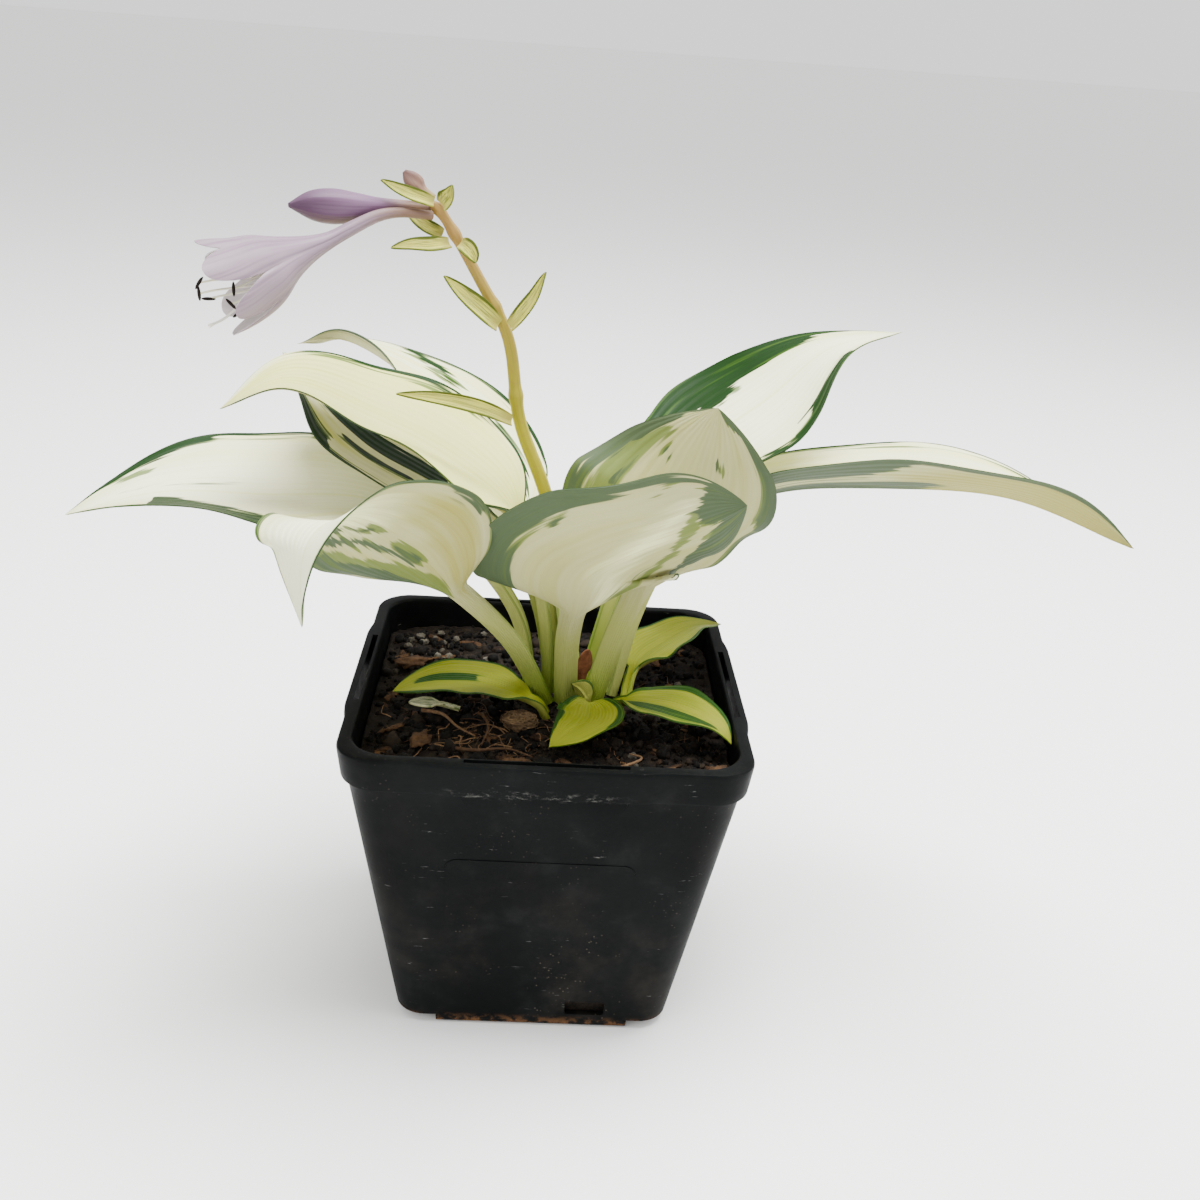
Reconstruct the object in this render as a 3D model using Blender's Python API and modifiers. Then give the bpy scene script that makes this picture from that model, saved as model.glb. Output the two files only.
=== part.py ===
"""A variegated hosta in flower, growing in a square plastic nursery pot.

X points right, Y points to the back and Z up. The origin is the centre of the pot's flat bottom.
Tables are in millimetres and degrees. Each shape is turned into metres when its mesh is made.
"""

import math

import bmesh
import bpy
import numpy as np
from mathutils import Matrix

MM = 0.001
GAP = 0.3

# The pot: outer sizes, measured over the rim.
POT_TOP = 105.0
POT_BOTTOM = 75.0
POT_HEIGHT = 91.0
LIP_HEIGHT = 9.2
LIP_STEP = 1.3
LIP_BULGE = 0.9
WALL = 1.4
RIM_WALL = 3.6
FLOOR = 4.4
CORNER_TOP = 10.0
CORNER_BOTTOM = 8.0
FOOT_SPAN = 53.0
FOOT_LIFT = 3.0
SLOT_LENGTH = 41.0
SLOT_WIDTH = 1.5
DRAIN_LENGTH = 11.0
DRAIN_HEIGHT = 5.0
DRAIN_X = 14.6
PANEL_WIDTH = 49.0
PANEL_LOW = 38.0
PANEL_HIGH = 60.0
PANEL_PROUD = 0.4

# The soil, and the level that leaves and loose pieces stand on.
SOIL_TOP = 82.6
STAND = SOIL_TOP + GAP
CROWN_CENTRE = (7.0, 5.0)
CROWN_RADIUS = 3.4
CROWN_HEIGHT = 4.4

BLADE_THICKNESS = 0.7
PETIOLE_THICKNESS = 1.6
FOOT_INDEX = 2

# Leaves. Each path runs from the crown along the midrib to the tip: x, y, z and the roll about the midrib.
# The blade starts at the third point. Heading is where the leaf points, seen from above.
# Shape holds the two exponents of the outline, and cup the angles of the left and the right half,
# each at the midrib and at the margin.
LEAVES = {
    "leaf_front": {
        "path": [
            (4.5, -3.5, 83.2, -50),
            (4.3, -11, 105, -39),
            (5.5, -18, 118, -34),
            (7.5, -24, 130, -26),
            (17.5, -29, 139, -24),
            (32, -32, 147, -27),
            (45, -31, 154, -38),
        ],
        "heading": -50,
        "width": 66,
        "petiole": 9,
        "shape": (0.51, 0.83),
        "cup": (7, 20, 0, 13),
    },
    "leaf_front_right": {
        "path": [
            (13.5, -3.5, 83.2, 40),
            (18.4, -4, 103.5, 25),
            (23.8, -6.7, 121.1, 18),
            (27.7, -7.5, 134.2, 17),
            (32.6, -8.7, 147.1, 9),
            (35.8, -8.3, 160, -2),
            (38.8, -6.8, 171.4, -4),
        ],
        "heading": -90,
        "width": 61.4,
        "petiole": 9,
        "shape": (0.6, 0.88),
        "cup": (14, 23, 9, 19),
    },
    "leaf_upper_right": {
        "path": [
            (12.5, 13, 83.2, 25),
            (20.5, 22, 113, 22),
            (29.5, 31, 138.8, 17),
            (45, 37.4, 151.9, 6),
            (61.5, 42.5, 164, 4),
            (76.5, 46.7, 177, -3),
            (97.6, 48.4, 183.1, 0),
        ],
        "heading": 25,
        "width": 54.2,
        "petiole": 7,
        "shape": (0.66, 1.28),
        "cup": (0, 14, 0, 14),
    },
    "leaf_right": {
        "path": [
            (18.8, 4.5, 83.2, 15),
            (26.1, 12, 109.5, 5),
            (39.1, 17.6, 132.4, -2),
            (58.8, 16.6, 142.7, -6),
            (89.3, 8.3, 148.7, -7),
            (120.4, -0.8, 150.4, -9),
            (153.2, -8.2, 140.3, -32),
        ],
        "heading": -5,
        "width": 45.9,
        "petiole": 7,
        "shape": (0.79, 1.01),
        "cup": (15, 29, 18, 33),
    },
    "leaf_upper_left": {
        "path": [
            (-0.5, 7, 83.2, -25),
            (-3, 3, 109, -20),
            (-12, -1.5, 137.4, -16),
            (-29, -1.6, 151.6, -8),
            (-50, -1.5, 161.8, -3),
            (-70.1, -3.8, 170, -3),
            (-86.2, -8.1, 163.9, -6),
        ],
        "heading": 185,
        "width": 52,
        "petiole": 9,
        "shape": (0.68, 1.17),
        "cup": (7, 19, 15, 27),
    },
    "leaf_left": {
        "path": [
            (-5.5, 4.5, 83.2, -10),
            (-11, 5.6, 107, -11),
            (-31, 7, 129, -9),
            (-52, 4.5, 138, -5),
            (-76, -2.5, 140, -6),
            (-101, -11, 142, -3),
            (-122.3, -20, 138, 4),
        ],
        "heading": 190,
        "width": 56.5,
        "petiole": 7,
        "shape": (0.8, 0.99),
        "cup": (5, 16, 7, 19),
    },
    "leaf_front_left": {
        "path": [
            (-2, -2.5, 83.4, -5),
            (-11.7, -13, 105.5, 15),
            (-25.9, -27.4, 125.8, 35),
            (-38, -41, 141, 42),
            (-50.5, -52.5, 152, 23),
            (-55.6, -61.5, 148.5, 9),
            (-56.5, -64, 130.6, 10),
        ],
        "heading": 215,
        "width": 50,
        "petiole": 8,
        "shape": (0.67, 0.95),
        "cup": (10, 21, 4, 13),
    },
    "leaf_back_left": {
        "path": [
            (0.5, 13.5, 83.2, -35),
            (-5, 11.4, 108.7, -17),
            (-18.9, 11.1, 134.8, -6),
            (-33.6, 12.1, 146.1, -7),
            (-49, 14.9, 154, -11),
            (-63.3, 18.6, 163, -9),
            (-75.9, 21.3, 172.5, 3),
        ],
        "heading": 165,
        "width": 53.5,
        "petiole": 7,
        "shape": (0.76, 1),
        "cup": (2, 14, -3, 3),
    },
    "leaf_back": {
        "path": [
            (6.8, 19, 83.2, -60),
            (2.5, 31.1, 101.7, -32),
            (-8.9, 48.4, 122.7, -12),
            (-25, 62.8, 138.8, -5),
            (-45.5, 71, 154.7, 3),
            (-66.8, 71.2, 166.2, 30),
            (-79.6, 62.8, 165.6, 65),
        ],
        "heading": 160,
        "width": 49,
        "petiole": 7,
        "shape": (0.87, 1.64),
        "cup": (10, 26, 4, 16),
    },
    "leaf_low_left": {
        "path": [
            (-1, -11, 83.3, 0),
            (-2.6, -11.4, 86.5, 0),
            (-5.2, -11.2, 88, 1),
            (-11, -10, 89.9, 2),
            (-20.5, -7.6, 91, 0),
            (-31.3, -8, 90.8, -4),
            (-42.3, -9.7, 88.2, -7),
        ],
        "heading": 180,
        "width": 20.7,
        "petiole": 5,
        "shape": (0.62, 0.87),
        "cup": (6, 16, 6, 16),
    },
    "leaf_low_front": {
        "path": [
            (9.5, -10, 83.2, 0),
            (10.5, -12, 87, 0),
            (11, -14.5, 89.4, -1),
            (11.5, -19.5, 90, -1),
            (10.5, -25, 90, 0),
            (6.5, -30, 89.5, 2),
            (0.5, -34.8, 87.1, 0),
        ],
        "heading": -105,
        "width": 17.5,
        "petiole": 5,
        "shape": (0.5, 1.0),
        "cup": (6, 16, 5, 15),
    },
    "leaf_low_right": {
        "path": [
            (17.5, -8, 83.2, 0),
            (18.3, -9.4, 86.6, -1),
            (21, -11.4, 88.8, -2),
            (28, -15, 91, 0),
            (37.2, -20.9, 91.8, 1),
            (44.8, -26.5, 90.5, -5),
            (48.2, -30.5, 88, -16),
        ],
        "heading": -30,
        "width": 19.6,
        "petiole": 5,
        "shape": (0.59, 0.93),
        "cup": (5, 15, 6, 16),
    },
    "leaf_low_back_right": {
        "path": [
            (22.8, 1.2, 83.2, 0),
            (23.4, 4.8, 86.5, -1),
            (24.9, 9.8, 89.2, -3),
            (28.5, 15.4, 91.6, -8),
            (34.8, 20.2, 94.1, -11),
            (42, 24.8, 96.6, -11),
            (51.3, 28, 96.7, -6),
        ],
        "heading": 35,
        "width": 24.4,
        "petiole": 4,
        "shape": (0.59, 1.01),
        "cup": (4, 14, 7, 17),
    },
    "leaf_low_shoot": {
        "path": [
            (10.6, -6.6, 83.2, 0),
            (10.8, -6.9, 85.4, 0),
            (10.6, -7.4, 87.2, 0),
            (9.9, -8.0, 89.2, 0),
            (8.8, -8.6, 91.0, 0),
            (7.6, -9.2, 92.3, 0),
            (6.4, -9.8, 93.2, 0),
        ],
        "heading": -90,
        "width": 6.5,
        "petiole": 2.4,
        "shape": (0.6, 0.9),
        "cup": (25, 55, 25, 55),
    },
}
LOW_LEAVES = [name for name in LEAVES if name.startswith("leaf_low")]

# The flower stem, from the crown to its last node.
SCAPE_PATH = [
    (7, 5, 87.8),
    (5.2, 3.4, 102),
    (2, 0.5, 122),
    (-3.8, -2, 145),
    (-11.2, -2, 163.5),
    (-15.2, -2, 185),
    (-22.6, -2, 198.6),
    (-33.4, -2, 215.2),
]
SCAPE_RADII = [2.0, 1.9, 1.8, 1.75, 1.65, 1.5, 1.35, 1.2]

# Bracts on the flower stem: path with roll, heading and width.
BRACTS = {
    "bract_low": {
        "path": [
            (-13.5, -4, 163.9, -50),
            (-20.1, -6.5, 167, -50),
            (-31.1, -10.5, 170.2, -50),
            (-41.6, -14, 172, -50),
        ],
        "heading": 200,
        "width": 4.9,
    },
    "bract_mid_left": {
        "path": [
            (-17.9, -4.4, 188.2, -55),
            (-22.7, -6, 192.4, -55),
            (-27.1, -7.6, 196.3, -55),
            (-31, -8.6, 200.3, -55),
        ],
        "heading": 190,
        "width": 6,
    },
    "bract_mid_right": {
        "path": [
            (-14.3, -4.4, 187.9, 55),
            (-11.4, -4.8, 191.4, 55),
            (-8.4, -5, 196.1, 55),
            (-6.5, -5, 202.2, 55),
        ],
        "heading": -20,
        "width": 5.6,
    },
    "bract_upper_long": {
        "path": [
            (-30.3, -3.8, 207.2, -50),
            (-34.7, -6.4, 206.8, -50),
            (-39.2, -8.6, 206.9, -50),
            (-43.5, -10.6, 206.4, -50),
        ],
        "heading": 195,
        "width": 4.4,
    },
    "bract_upper_short": {
        "path": [
            (-32.2, -2.0, 209, -50),
            (-35, -0.9, 209.8, -50),
            (-38.4, 1.1, 211.3, -50),
            (-40.9, 2.3, 212.7, -50),
        ],
        "heading": 180,
        "width": 4.2,
    },
    "bract_upper_right": {
        "path": [
            (-27.6, -4.2, 207.4, 50),
            (-26.1, -4.8, 206.7, 50),
            (-24.6, -5.2, 205.2, 50),
            (-23.6, -5.4, 203.4, 50),
        ],
        "heading": -20,
        "width": 4.6,
    },
    "bract_top_long": {
        "path": [
            (-34.2, -4.3, 216.5, -50),
            (-39.2, -5.4, 218, -50),
            (-42.9, -6.4, 219.5, -50),
            (-46.3, -7.8, 221.5, -50),
        ],
        "heading": 190,
        "width": 4.2,
    },
    "bract_top_right": {
        "path": [
            (-31.8, -3.1, 215.8, 55),
            (-30.4, -3.5, 217.7, 55),
            (-29.9, -3.7, 219.4, 55),
            (-29.9, -3.8, 221, 55),
        ],
        "heading": -10,
        "width": 6.4,
    },
}

# The open flower's axis, from its stalk to the mouth, with the outer radius at each point.
FLOWER_PATH = [
    (-34.6, -3.4, 213.6),
    (-42.1, -7.6, 214.3),
    (-46.6, -10.5, 213.6),
    (-52.2, -14, 210.9),
    (-56.9, -17, 208.3),
    (-61.2, -20, 206.4),
    (-65.5, -23, 204.5),
    (-70, -26, 202.2),
    (-74.6, -29, 200),
    (-79.1, -32, 198.4),
    (-84.4, -35.5, 196.9),
]
FLOWER_RADII = [1.1, 1.2, 1.4, 1.6, 1.85, 3.0, 5.0, 7.9, 9.3, 9.8, 9.9]
FLOWER_WALL = 0.5
LOBES = 6
LOBE_DEPTH = 0.2
FAR_SHORTER = 0.07

# The closed flower bud and the young bud at the very top.
BUD_PATH = [
    (-35.3, -0.6, 215),
    (-41, -3, 215.2),
    (-47, -6.4, 215.2),
    (-52, -9, 215.2),
    (-57, -11, 215.4),
    (-62, -12.8, 215.5),
    (-66.8, -14.4, 215.2),
]
BUD_RADII = [1.1, 1.5, 2.2, 3.4, 4.1, 3.3, 0.5]
YOUNG_BUD_PATH = [
    (-34.4, -0.8, 217.2),
    (-37.4, -0.8, 218.8),
    (-39, -0.8, 220.3),
    (-40.4, -0.8, 221.9),
    (-41.6, -0.8, 223.2),
]
YOUNG_BUD_RADII = [1.0, 1.5, 2.1, 1.7, 0.5]

# Stamens and style: the turn about the flower's axis where each leaves the wall, how far along the axis
# it reaches, and how far below the axis and towards the front it ends.
STAMENS = {
    "stamen_1": (-62, 0.97, -2.4, 0.6),
    "stamen_2": (-30, 0.98, -0.2, 0.4),
    "stamen_3": (0, 0.94, 1.8, -2.6),
    "stamen_4": (62, 0.90, 3.6, 4.0),
    "stamen_5": (32, 0.88, 6.2, 2.4),
    "stamen_6": (94, 0.88, 0.6, 5.4),
    "style": (-94, 0.97, 7.4, -1.2),
}
STAMEN_START = 0.62
STAMEN_RADIUS = 0.35

# Loose pieces on the soil: x, y, length, width, height and turn.
PERLITE = [
    (-39, 37, 2.7, 2.2, 1.7, 20),
    (-33, 40, 2.2, 1.9, 1.5, 60),
    (-28, 36, 2.6, 2.0, 1.6, 110),
    (-42, 30, 2.8, 2.1, 1.4, 150),
    (-20, 41, 2.1, 1.7, 1.4, 35),
    (38, 12, 2.3, 1.9, 1.5, 75),
]
BARK = [
    (-40, 18, 9, 5, 2.4, 25),
    (-33, -28, 8, 4.5, 2.2, 80),
    (-8, -38, 7, 4, 2.0, 15),
    (40, -3, 7.5, 4.5, 2.6, 120),
    (31, -41, 8.5, 4.5, 2.6, 10),
    (44, -40.5, 6.4, 4.6, 3.4, 60),
]
CLUMP = (-7.5, -17, 10, 8, 4.5, 30)
ROOTS = {
    "root_1": [(-34, -12, 2.2), (-28, -16, 3.4), (-24, -21, 2.6), (-19, -24, 1.6)],
    "root_2": [(-17, -12.5, 2.2), (-17.5, -17, 4.4), (-15.5, -22, 3.8), (-17, -29, 1.6)],
    "root_3": [(-25, -31, 1.6), (-18, -33.5, 2.6), (-10, -31.5, 2.4), (-3.5, -34, 1.6)],
    "root_4": [(14, -40, 1.6), (20, -38, 2.4), (25, -34, 2.8), (22, -30, 1.6)],
}
ROOT_RADIUS = 0.6

COLOURS = {
    "pot": (0.025, 0.027, 0.028, 0.42),
    "soil": (0.016, 0.011, 0.008, 0.95),
    "crown": (0.45, 0.47, 0.18, 0.6),
    "leaf": (0.80, 0.80, 0.58, 0.42),
    "leaf_low": (0.58, 0.60, 0.14, 0.42),
    "scape": (0.60, 0.50, 0.17, 0.5),
    "bract": (0.50, 0.52, 0.16, 0.5),
    "flower_open": (0.66, 0.58, 0.68, 0.5),
    "flower_bud": (0.30, 0.20, 0.36, 0.5),
    "bud_young": (0.30, 0.20, 0.17, 0.5),
    "stamen": (0.72, 0.70, 0.58, 0.5),
    "style": (0.80, 0.78, 0.72, 0.5),
    "sheath": (0.24, 0.08, 0.03, 0.8),
    "perlite": (0.62, 0.62, 0.58, 0.9),
    "bark": (0.12, 0.07, 0.04, 0.9),
    "clump": (0.30, 0.22, 0.12, 0.9),
    "root": (0.28, 0.18, 0.10, 0.85),
}


def ease(low, high, value):
    t = np.clip((value - low) / (high - low), 0, 1)
    return t * t * (3 - 2 * t)


def curve_rows(points, fractions):
    """Rows at these fractions of the length of a smooth curve through the points, and that length."""
    rows = np.array(points, float)
    rows = np.vstack([2 * rows[0] - rows[1], rows, 2 * rows[-1] - rows[-2]])
    steps = np.linalg.norm(np.diff(rows[:, :3], axis=0), axis=1) ** 0.5
    knots = np.concatenate([[0], np.cumsum(steps)])
    dense = []
    for i in range(1, len(rows) - 2):
        k0, k1, k2, k3 = knots[i - 1 : i + 3]
        for t in np.linspace(k1, k2, 24, endpoint=i == len(rows) - 3):
            a1 = (k1 - t) / (k1 - k0) * rows[i - 1] + (t - k0) / (k1 - k0) * rows[i]
            a2 = (k2 - t) / (k2 - k1) * rows[i] + (t - k1) / (k2 - k1) * rows[i + 1]
            a3 = (k3 - t) / (k3 - k2) * rows[i + 1] + (t - k2) / (k3 - k2) * rows[i + 2]
            b1 = (k2 - t) / (k2 - k0) * a1 + (t - k0) / (k2 - k0) * a2
            b2 = (k3 - t) / (k3 - k1) * a2 + (t - k1) / (k3 - k1) * a3
            dense.append((k2 - t) / (k2 - k1) * b1 + (t - k1) / (k2 - k1) * b2)
    dense = np.array(dense)
    run = np.concatenate([[0], np.cumsum(np.linalg.norm(np.diff(dense[:, :3], axis=0), axis=1))])
    at = np.asarray(fractions) * run[-1]
    columns = [np.interp(at, run, dense[:, k]) for k in range(rows.shape[1])]
    return np.stack(columns, 1), run[-1]


def fraction_of(path, index):
    """How far along the curve through the path this point of it lies."""
    rows, _ = curve_rows(path, np.linspace(0, 1, 400))
    away = np.linalg.norm(rows[:, :3] - np.array(path[index][:3], float), axis=1)
    return away.argmin() / 399


def frames_along(middle, roll, heading, fractions, length):
    """The sideways and the upper-side direction at each row of a midrib."""
    tangent = np.gradient(middle, fractions * length, axis=0)
    tangent /= np.linalg.norm(tangent, axis=1)[:, None]
    turn = math.radians(heading)
    level = np.array([math.sin(turn), -math.cos(turn), 0.0])
    side = level - (tangent @ level)[:, None] * tangent
    side /= np.linalg.norm(side, axis=1)[:, None]
    upper = np.cross(side, tangent)
    c = np.cos(roll)[:, None]
    s = np.sin(roll)[:, None]
    return side * c - upper * s, upper * c + side * s


def outline(t, rise, fall):
    """The half-width of a blade from its foot to its tip, at most 1."""
    peak = rise / (rise + fall)
    return (t / peak) ** rise * ((1 - t) / (1 - peak)) ** fall


def leaf_sheet(leaf, petiole_rows, blade_rows, across):
    """The leaf's middle surface: an array of rows by points across, and the thickness weight of each row."""
    path = leaf["path"]
    foot = fraction_of(path, FOOT_INDEX)
    stalk = np.linspace(0, foot, petiole_rows, endpoint=False)
    blade = foot + (1 - foot) * np.linspace(0, 1, blade_rows) ** 1.15
    at = np.concatenate([stalk, blade])
    rows, length = curve_rows(path, at)
    side, upper = frames_along(rows[:, :3], np.radians(rows[:, 3]), leaf["heading"], at, length)
    t = (at - foot) / (1 - foot)
    inside = np.clip(t, 0, 1)
    stalk_half = leaf["petiole"] / 2 * (1 - ease(0, 0.9, inside))
    blade_half = leaf["width"] / 2 * outline(inside, *leaf["shape"])
    half = np.sqrt(stalk_half**2 + blade_half**2) + 0.25
    open_up = ease(-0.10, 0.16, t)
    points = np.zeros((len(at), len(across), 3))
    for j, v in enumerate(across):
        near, far = leaf["cup"][:2] if v < 0 else leaf["cup"][2:]
        near = np.radians(15 * (1 - open_up) + near * open_up)
        far = np.radians(85 * (1 - open_up) + far * open_up)
        steps = (np.arange(16) + 0.5) / 16 * abs(v)
        angle = near[:, None] + (far - near)[:, None] * steps[None]
        out = np.cos(angle).mean(1) * abs(v) * half * np.sign(v)
        rise = np.sin(angle).mean(1) * abs(v) * half
        points[:, j] = rows[:, :3] + side * out[:, None] + upper * rise[:, None]
    points[0, :, 2] = path[0][2]
    thickness = PETIOLE_THICKNESS + (BLADE_THICKNESS - PETIOLE_THICKNESS) * ease(0.0, 0.3, t)
    return points, thickness / PETIOLE_THICKNESS


def material(name):
    """The colour of the longest key that starts this name."""
    key = max((k for k in COLOURS if name.startswith(k)), key=len)
    if key in bpy.data.materials:
        return bpy.data.materials[key]
    red, green, blue, roughness = COLOURS[key]
    made = bpy.data.materials.new(key)
    made.use_nodes = True
    shader = made.node_tree.nodes["Principled BSDF"]
    shader.inputs["Base Color"].default_value = (red, green, blue, 1)
    shader.inputs["Roughness"].default_value = roughness
    shader.inputs["Metallic"].default_value = 0
    made.diffuse_color = (red, green, blue, 1)
    return made


def add_object(name, bm, collection, smooth=True):
    """An object made from a bmesh whose coordinates are millimetres."""
    bmesh.ops.scale(bm, vec=(MM, MM, MM), verts=bm.verts)
    mesh = bpy.data.meshes.new(name)
    bm.to_mesh(mesh)
    bm.free()
    for face in mesh.polygons:
        face.use_smooth = smooth
    made = bpy.data.objects.new(name, mesh)
    made.data.materials.append(material(name))
    collection.objects.link(made)
    return made


def thicken(made, thickness, group=None):
    solid = made.modifiers.new("Solidify", "SOLIDIFY")
    solid.thickness = thickness * MM
    solid.offset = 0
    solid.use_even_offset = True
    if group:
        solid.vertex_group = group
    return solid


def sheet_object(name, points, weights, thickness, collection):
    """A bent grid, thickened to both sides. Weights hold each row's share of the thickness."""
    rows, columns = points.shape[:2]
    bm = bmesh.new()
    bmesh.ops.create_grid(bm, x_segments=rows - 1, y_segments=columns - 1, size=1)
    bm.verts.ensure_lookup_table()
    order = sorted(bm.verts, key=lambda v: (round(v.co.x, 5), round(v.co.y, 5)))
    flat = points.reshape(-1, 3)
    index = {vert.index: i for i, vert in enumerate(order)}
    for vert in bm.verts:
        vert.co = flat[index[vert.index]]
    row_of = [index[vert.index] // columns for vert in bm.verts]
    made = add_object(name, bm, collection)
    group = made.vertex_groups.new(name="thickness")
    for vertex, row in enumerate(row_of):
        group.add([vertex], float(weights[row]), "REPLACE")
    thicken(made, thickness, "thickness")
    return made


def add_leaf(name, leaf, collection):
    low = name in LOW_LEAVES
    across = np.linspace(-1, 1, 5 if low else 7)
    points, weights = leaf_sheet(leaf, 3 if low else 6, 9 if low else 13, across)
    thickness = PETIOLE_THICKNESS * (0.6 if low else 1)
    return sheet_object(name, points, weights, thickness, collection)


def add_bract(name, bract, collection):
    """A small boat-shaped bract, with no stalk."""
    at = np.linspace(0, 1, 7)
    rows, length = curve_rows(bract["path"], at)
    side, upper = frames_along(rows[:, :3], np.radians(rows[:, 3]), bract["heading"], at, length)
    half = bract["width"] / 2 * outline(0.12 + 0.88 * at, 0.5, 0.7) + 0.2
    points = np.zeros((7, 5, 3))
    for j, v in enumerate(np.linspace(-1, 1, 5)):
        out = v * half * 0.85
        rise = abs(v) ** 1.5 * half * 0.5
        points[:, j] = rows[:, :3] + side * out[:, None] + upper * rise[:, None]
    return sheet_object(name, points, np.ones(7), 0.7, collection)


def ring_frames(path, fractions):
    """Points along a curve, and two directions square to it at each."""
    rows, length = curve_rows(path, fractions)
    tangent = np.gradient(rows, fractions * length, axis=0)
    tangent /= np.linalg.norm(tangent, axis=1)[:, None]
    first = np.cross(tangent, [0.0, 1.0, 0.0])
    first /= np.linalg.norm(first, axis=1)[:, None]
    second = np.cross(tangent, first)
    return rows, first, second


def radii_along(path, radii, fractions):
    """The radius at each fraction of a path, on a smooth curve through the given ones."""
    rows, _ = curve_rows([(*point, radius) for point, radius in zip(path, radii)], fractions)
    return rows[:, 3]


def bridge_rings(bm, rings, closed_start, closed_end):
    """Faces between successive closed rings of vertices, with a face on either end where asked."""
    for low, high in zip(rings, rings[1:]):
        count = len(low)
        for k in range(count):
            bm.faces.new((low[k], low[(k + 1) % count], high[(k + 1) % count], high[k]))
    if closed_start:
        bm.faces.new(rings[0][::-1])
    if closed_end:
        bm.faces.new(rings[-1])


def add_stem(name, path, radii, sides, steps, collection):
    """A solid round stem or bud that follows a path with changing radius."""
    at = np.linspace(0, 1, steps)
    rows, first, second = ring_frames(path, at)
    size = radii_along(path, radii, at)
    bm = bmesh.new()
    rings = []
    for i in range(steps):
        ring = []
        for k in range(sides):
            turn = 2 * math.pi * k / sides
            offset = first[i] * math.cos(turn) + second[i] * math.sin(turn)
            ring.append(bm.verts.new(rows[i] + offset * size[i]))
        rings.append(ring)
    bridge_rings(bm, rings, True, True)
    bmesh.ops.recalc_face_normals(bm, faces=bm.faces)
    return add_object(name, bm, collection)


def flower_reach(turn):
    """How far along the axis the petals reach: notched between lobes, and shorter on the far side."""
    notch = math.sin(LOBES / 2 * turn) ** 2
    return 1 - LOBE_DEPTH * notch - FAR_SHORTER * (1 - math.sin(turn))


def add_open_flower(collection):
    """The stalk and the six joined petals: a funnel open at its mouth, closed at the stalk."""
    columns = LOBES * 4
    steps = 13
    at = np.linspace(0, 1, steps)
    bm = bmesh.new()
    grid = []
    for k in range(columns):
        turn = 2 * math.pi * k / columns
        reach = flower_reach(turn)
        rows, first, second = ring_frames(FLOWER_PATH, at * reach)
        size = radii_along(FLOWER_PATH, FLOWER_RADII, at * reach)
        offset = first * math.cos(turn) + second * math.sin(turn)
        grid.append([bm.verts.new(p) for p in rows + offset * size[:, None]])
    rings = [[grid[k][i] for k in range(columns)] for i in range(steps)]
    bridge_rings(bm, rings, True, False)
    bmesh.ops.recalc_face_normals(bm, faces=bm.faces)
    made = add_object("flower_open", bm, collection)
    solid = thicken(made, FLOWER_WALL)
    solid.offset = -1
    return made


def add_stamens(collection):
    """Six stamens and the style: threads along the lower wall that curve towards the mouth."""
    for name, (turn, reach, down, near) in STAMENS.items():
        at = np.linspace(STAMEN_START, reach, 7)
        rows, first, second = ring_frames(FLOWER_PATH, at)
        angle = math.radians(turn)
        wall = radii_along(FLOWER_PATH, FLOWER_RADII, at[:1])[0] - FLOWER_WALL - STAMEN_RADIUS - GAP
        share = ease(0, 1, np.linspace(0, 1, len(at)))
        downward = wall * math.cos(angle) * (1 - share) + down * share
        nearer = wall * math.sin(angle) * (1 - share) + near * share
        path = rows + first * downward[:, None] + second * nearer[:, None]
        radii = [STAMEN_RADIUS] * (len(path) - 1) + [STAMEN_RADIUS * (1.2 if name == "style" else 2)]
        add_stem(name, path, radii, 6, 9, collection)


def rounded_square(half, corner, bulge, z, segments=4):
    """A ring of points, with the middle of each side pushed out by the bulge."""
    points = []
    flat = half - corner
    for side in range(4):
        turn = side * math.pi / 2
        for u in (-0.57, -0.44, -0.15, 0.15, 0.44, 0.57):
            push = bulge if abs(u) < 0.5 else 0
            points.append((half + push, u * 2 * flat * 0.62 if abs(u) > 0.2 else u * 2 * flat, turn))
        for k in range(segments + 1):
            angle = math.pi / 2 * k / segments
            points.append((flat + corner * math.cos(angle), flat + corner * math.sin(angle), turn))
    ring = []
    for x, y, turn in points:
        ring.append((x * math.cos(turn) - y * math.sin(turn), x * math.sin(turn) + y * math.cos(turn), z))
    return ring


def wall_half(z):
    """Half the width over the tapered outer wall at this height."""
    top = POT_TOP / 2 - LIP_STEP - 0.9
    return POT_BOTTOM / 2 + (top - POT_BOTTOM / 2) * z / (POT_HEIGHT - LIP_HEIGHT)


def corner_at(z):
    return CORNER_BOTTOM + (CORNER_TOP - CORNER_BOTTOM) * z / POT_HEIGHT


def inner_half(z):
    """Half the width inside the pot: thin walls low down, and a thicker rim."""
    lip = POT_HEIGHT - LIP_HEIGHT
    if z <= lip:
        return wall_half(z) - WALL
    rim = POT_TOP / 2 - RIM_WALL + 0.4
    return rim


def pot_shell(collection):
    lip = POT_HEIGHT - LIP_HEIGHT
    top = POT_TOP / 2
    outside = [
        (0.0, wall_half(0) - 1.2, 0),
        (1.2, wall_half(1.2), 0),
        (lip, wall_half(lip), 0),
        (lip, top - 0.9, LIP_BULGE),
        (POT_HEIGHT - 0.8, top, LIP_BULGE),
        (POT_HEIGHT, top - 0.6, LIP_BULGE),
    ]
    inside = [
        (POT_HEIGHT, top - RIM_WALL + 0.6, 0),
        (POT_HEIGHT - 0.6, top - RIM_WALL, 0),
        (lip, wall_half(lip) - WALL, 0),
        (FLOOR, wall_half(FLOOR) - WALL, 0),
    ]
    bm = bmesh.new()
    rings = []
    for z, half, bulge in outside + inside:
        ring = rounded_square(half, corner_at(z), bulge, z)
        rings.append([bm.verts.new(p) for p in ring])
    bridge_rings(bm, rings, True, True)
    bmesh.ops.recalc_face_normals(bm, faces=bm.faces)
    return add_object("pot", bm, collection, smooth=False)


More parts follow.
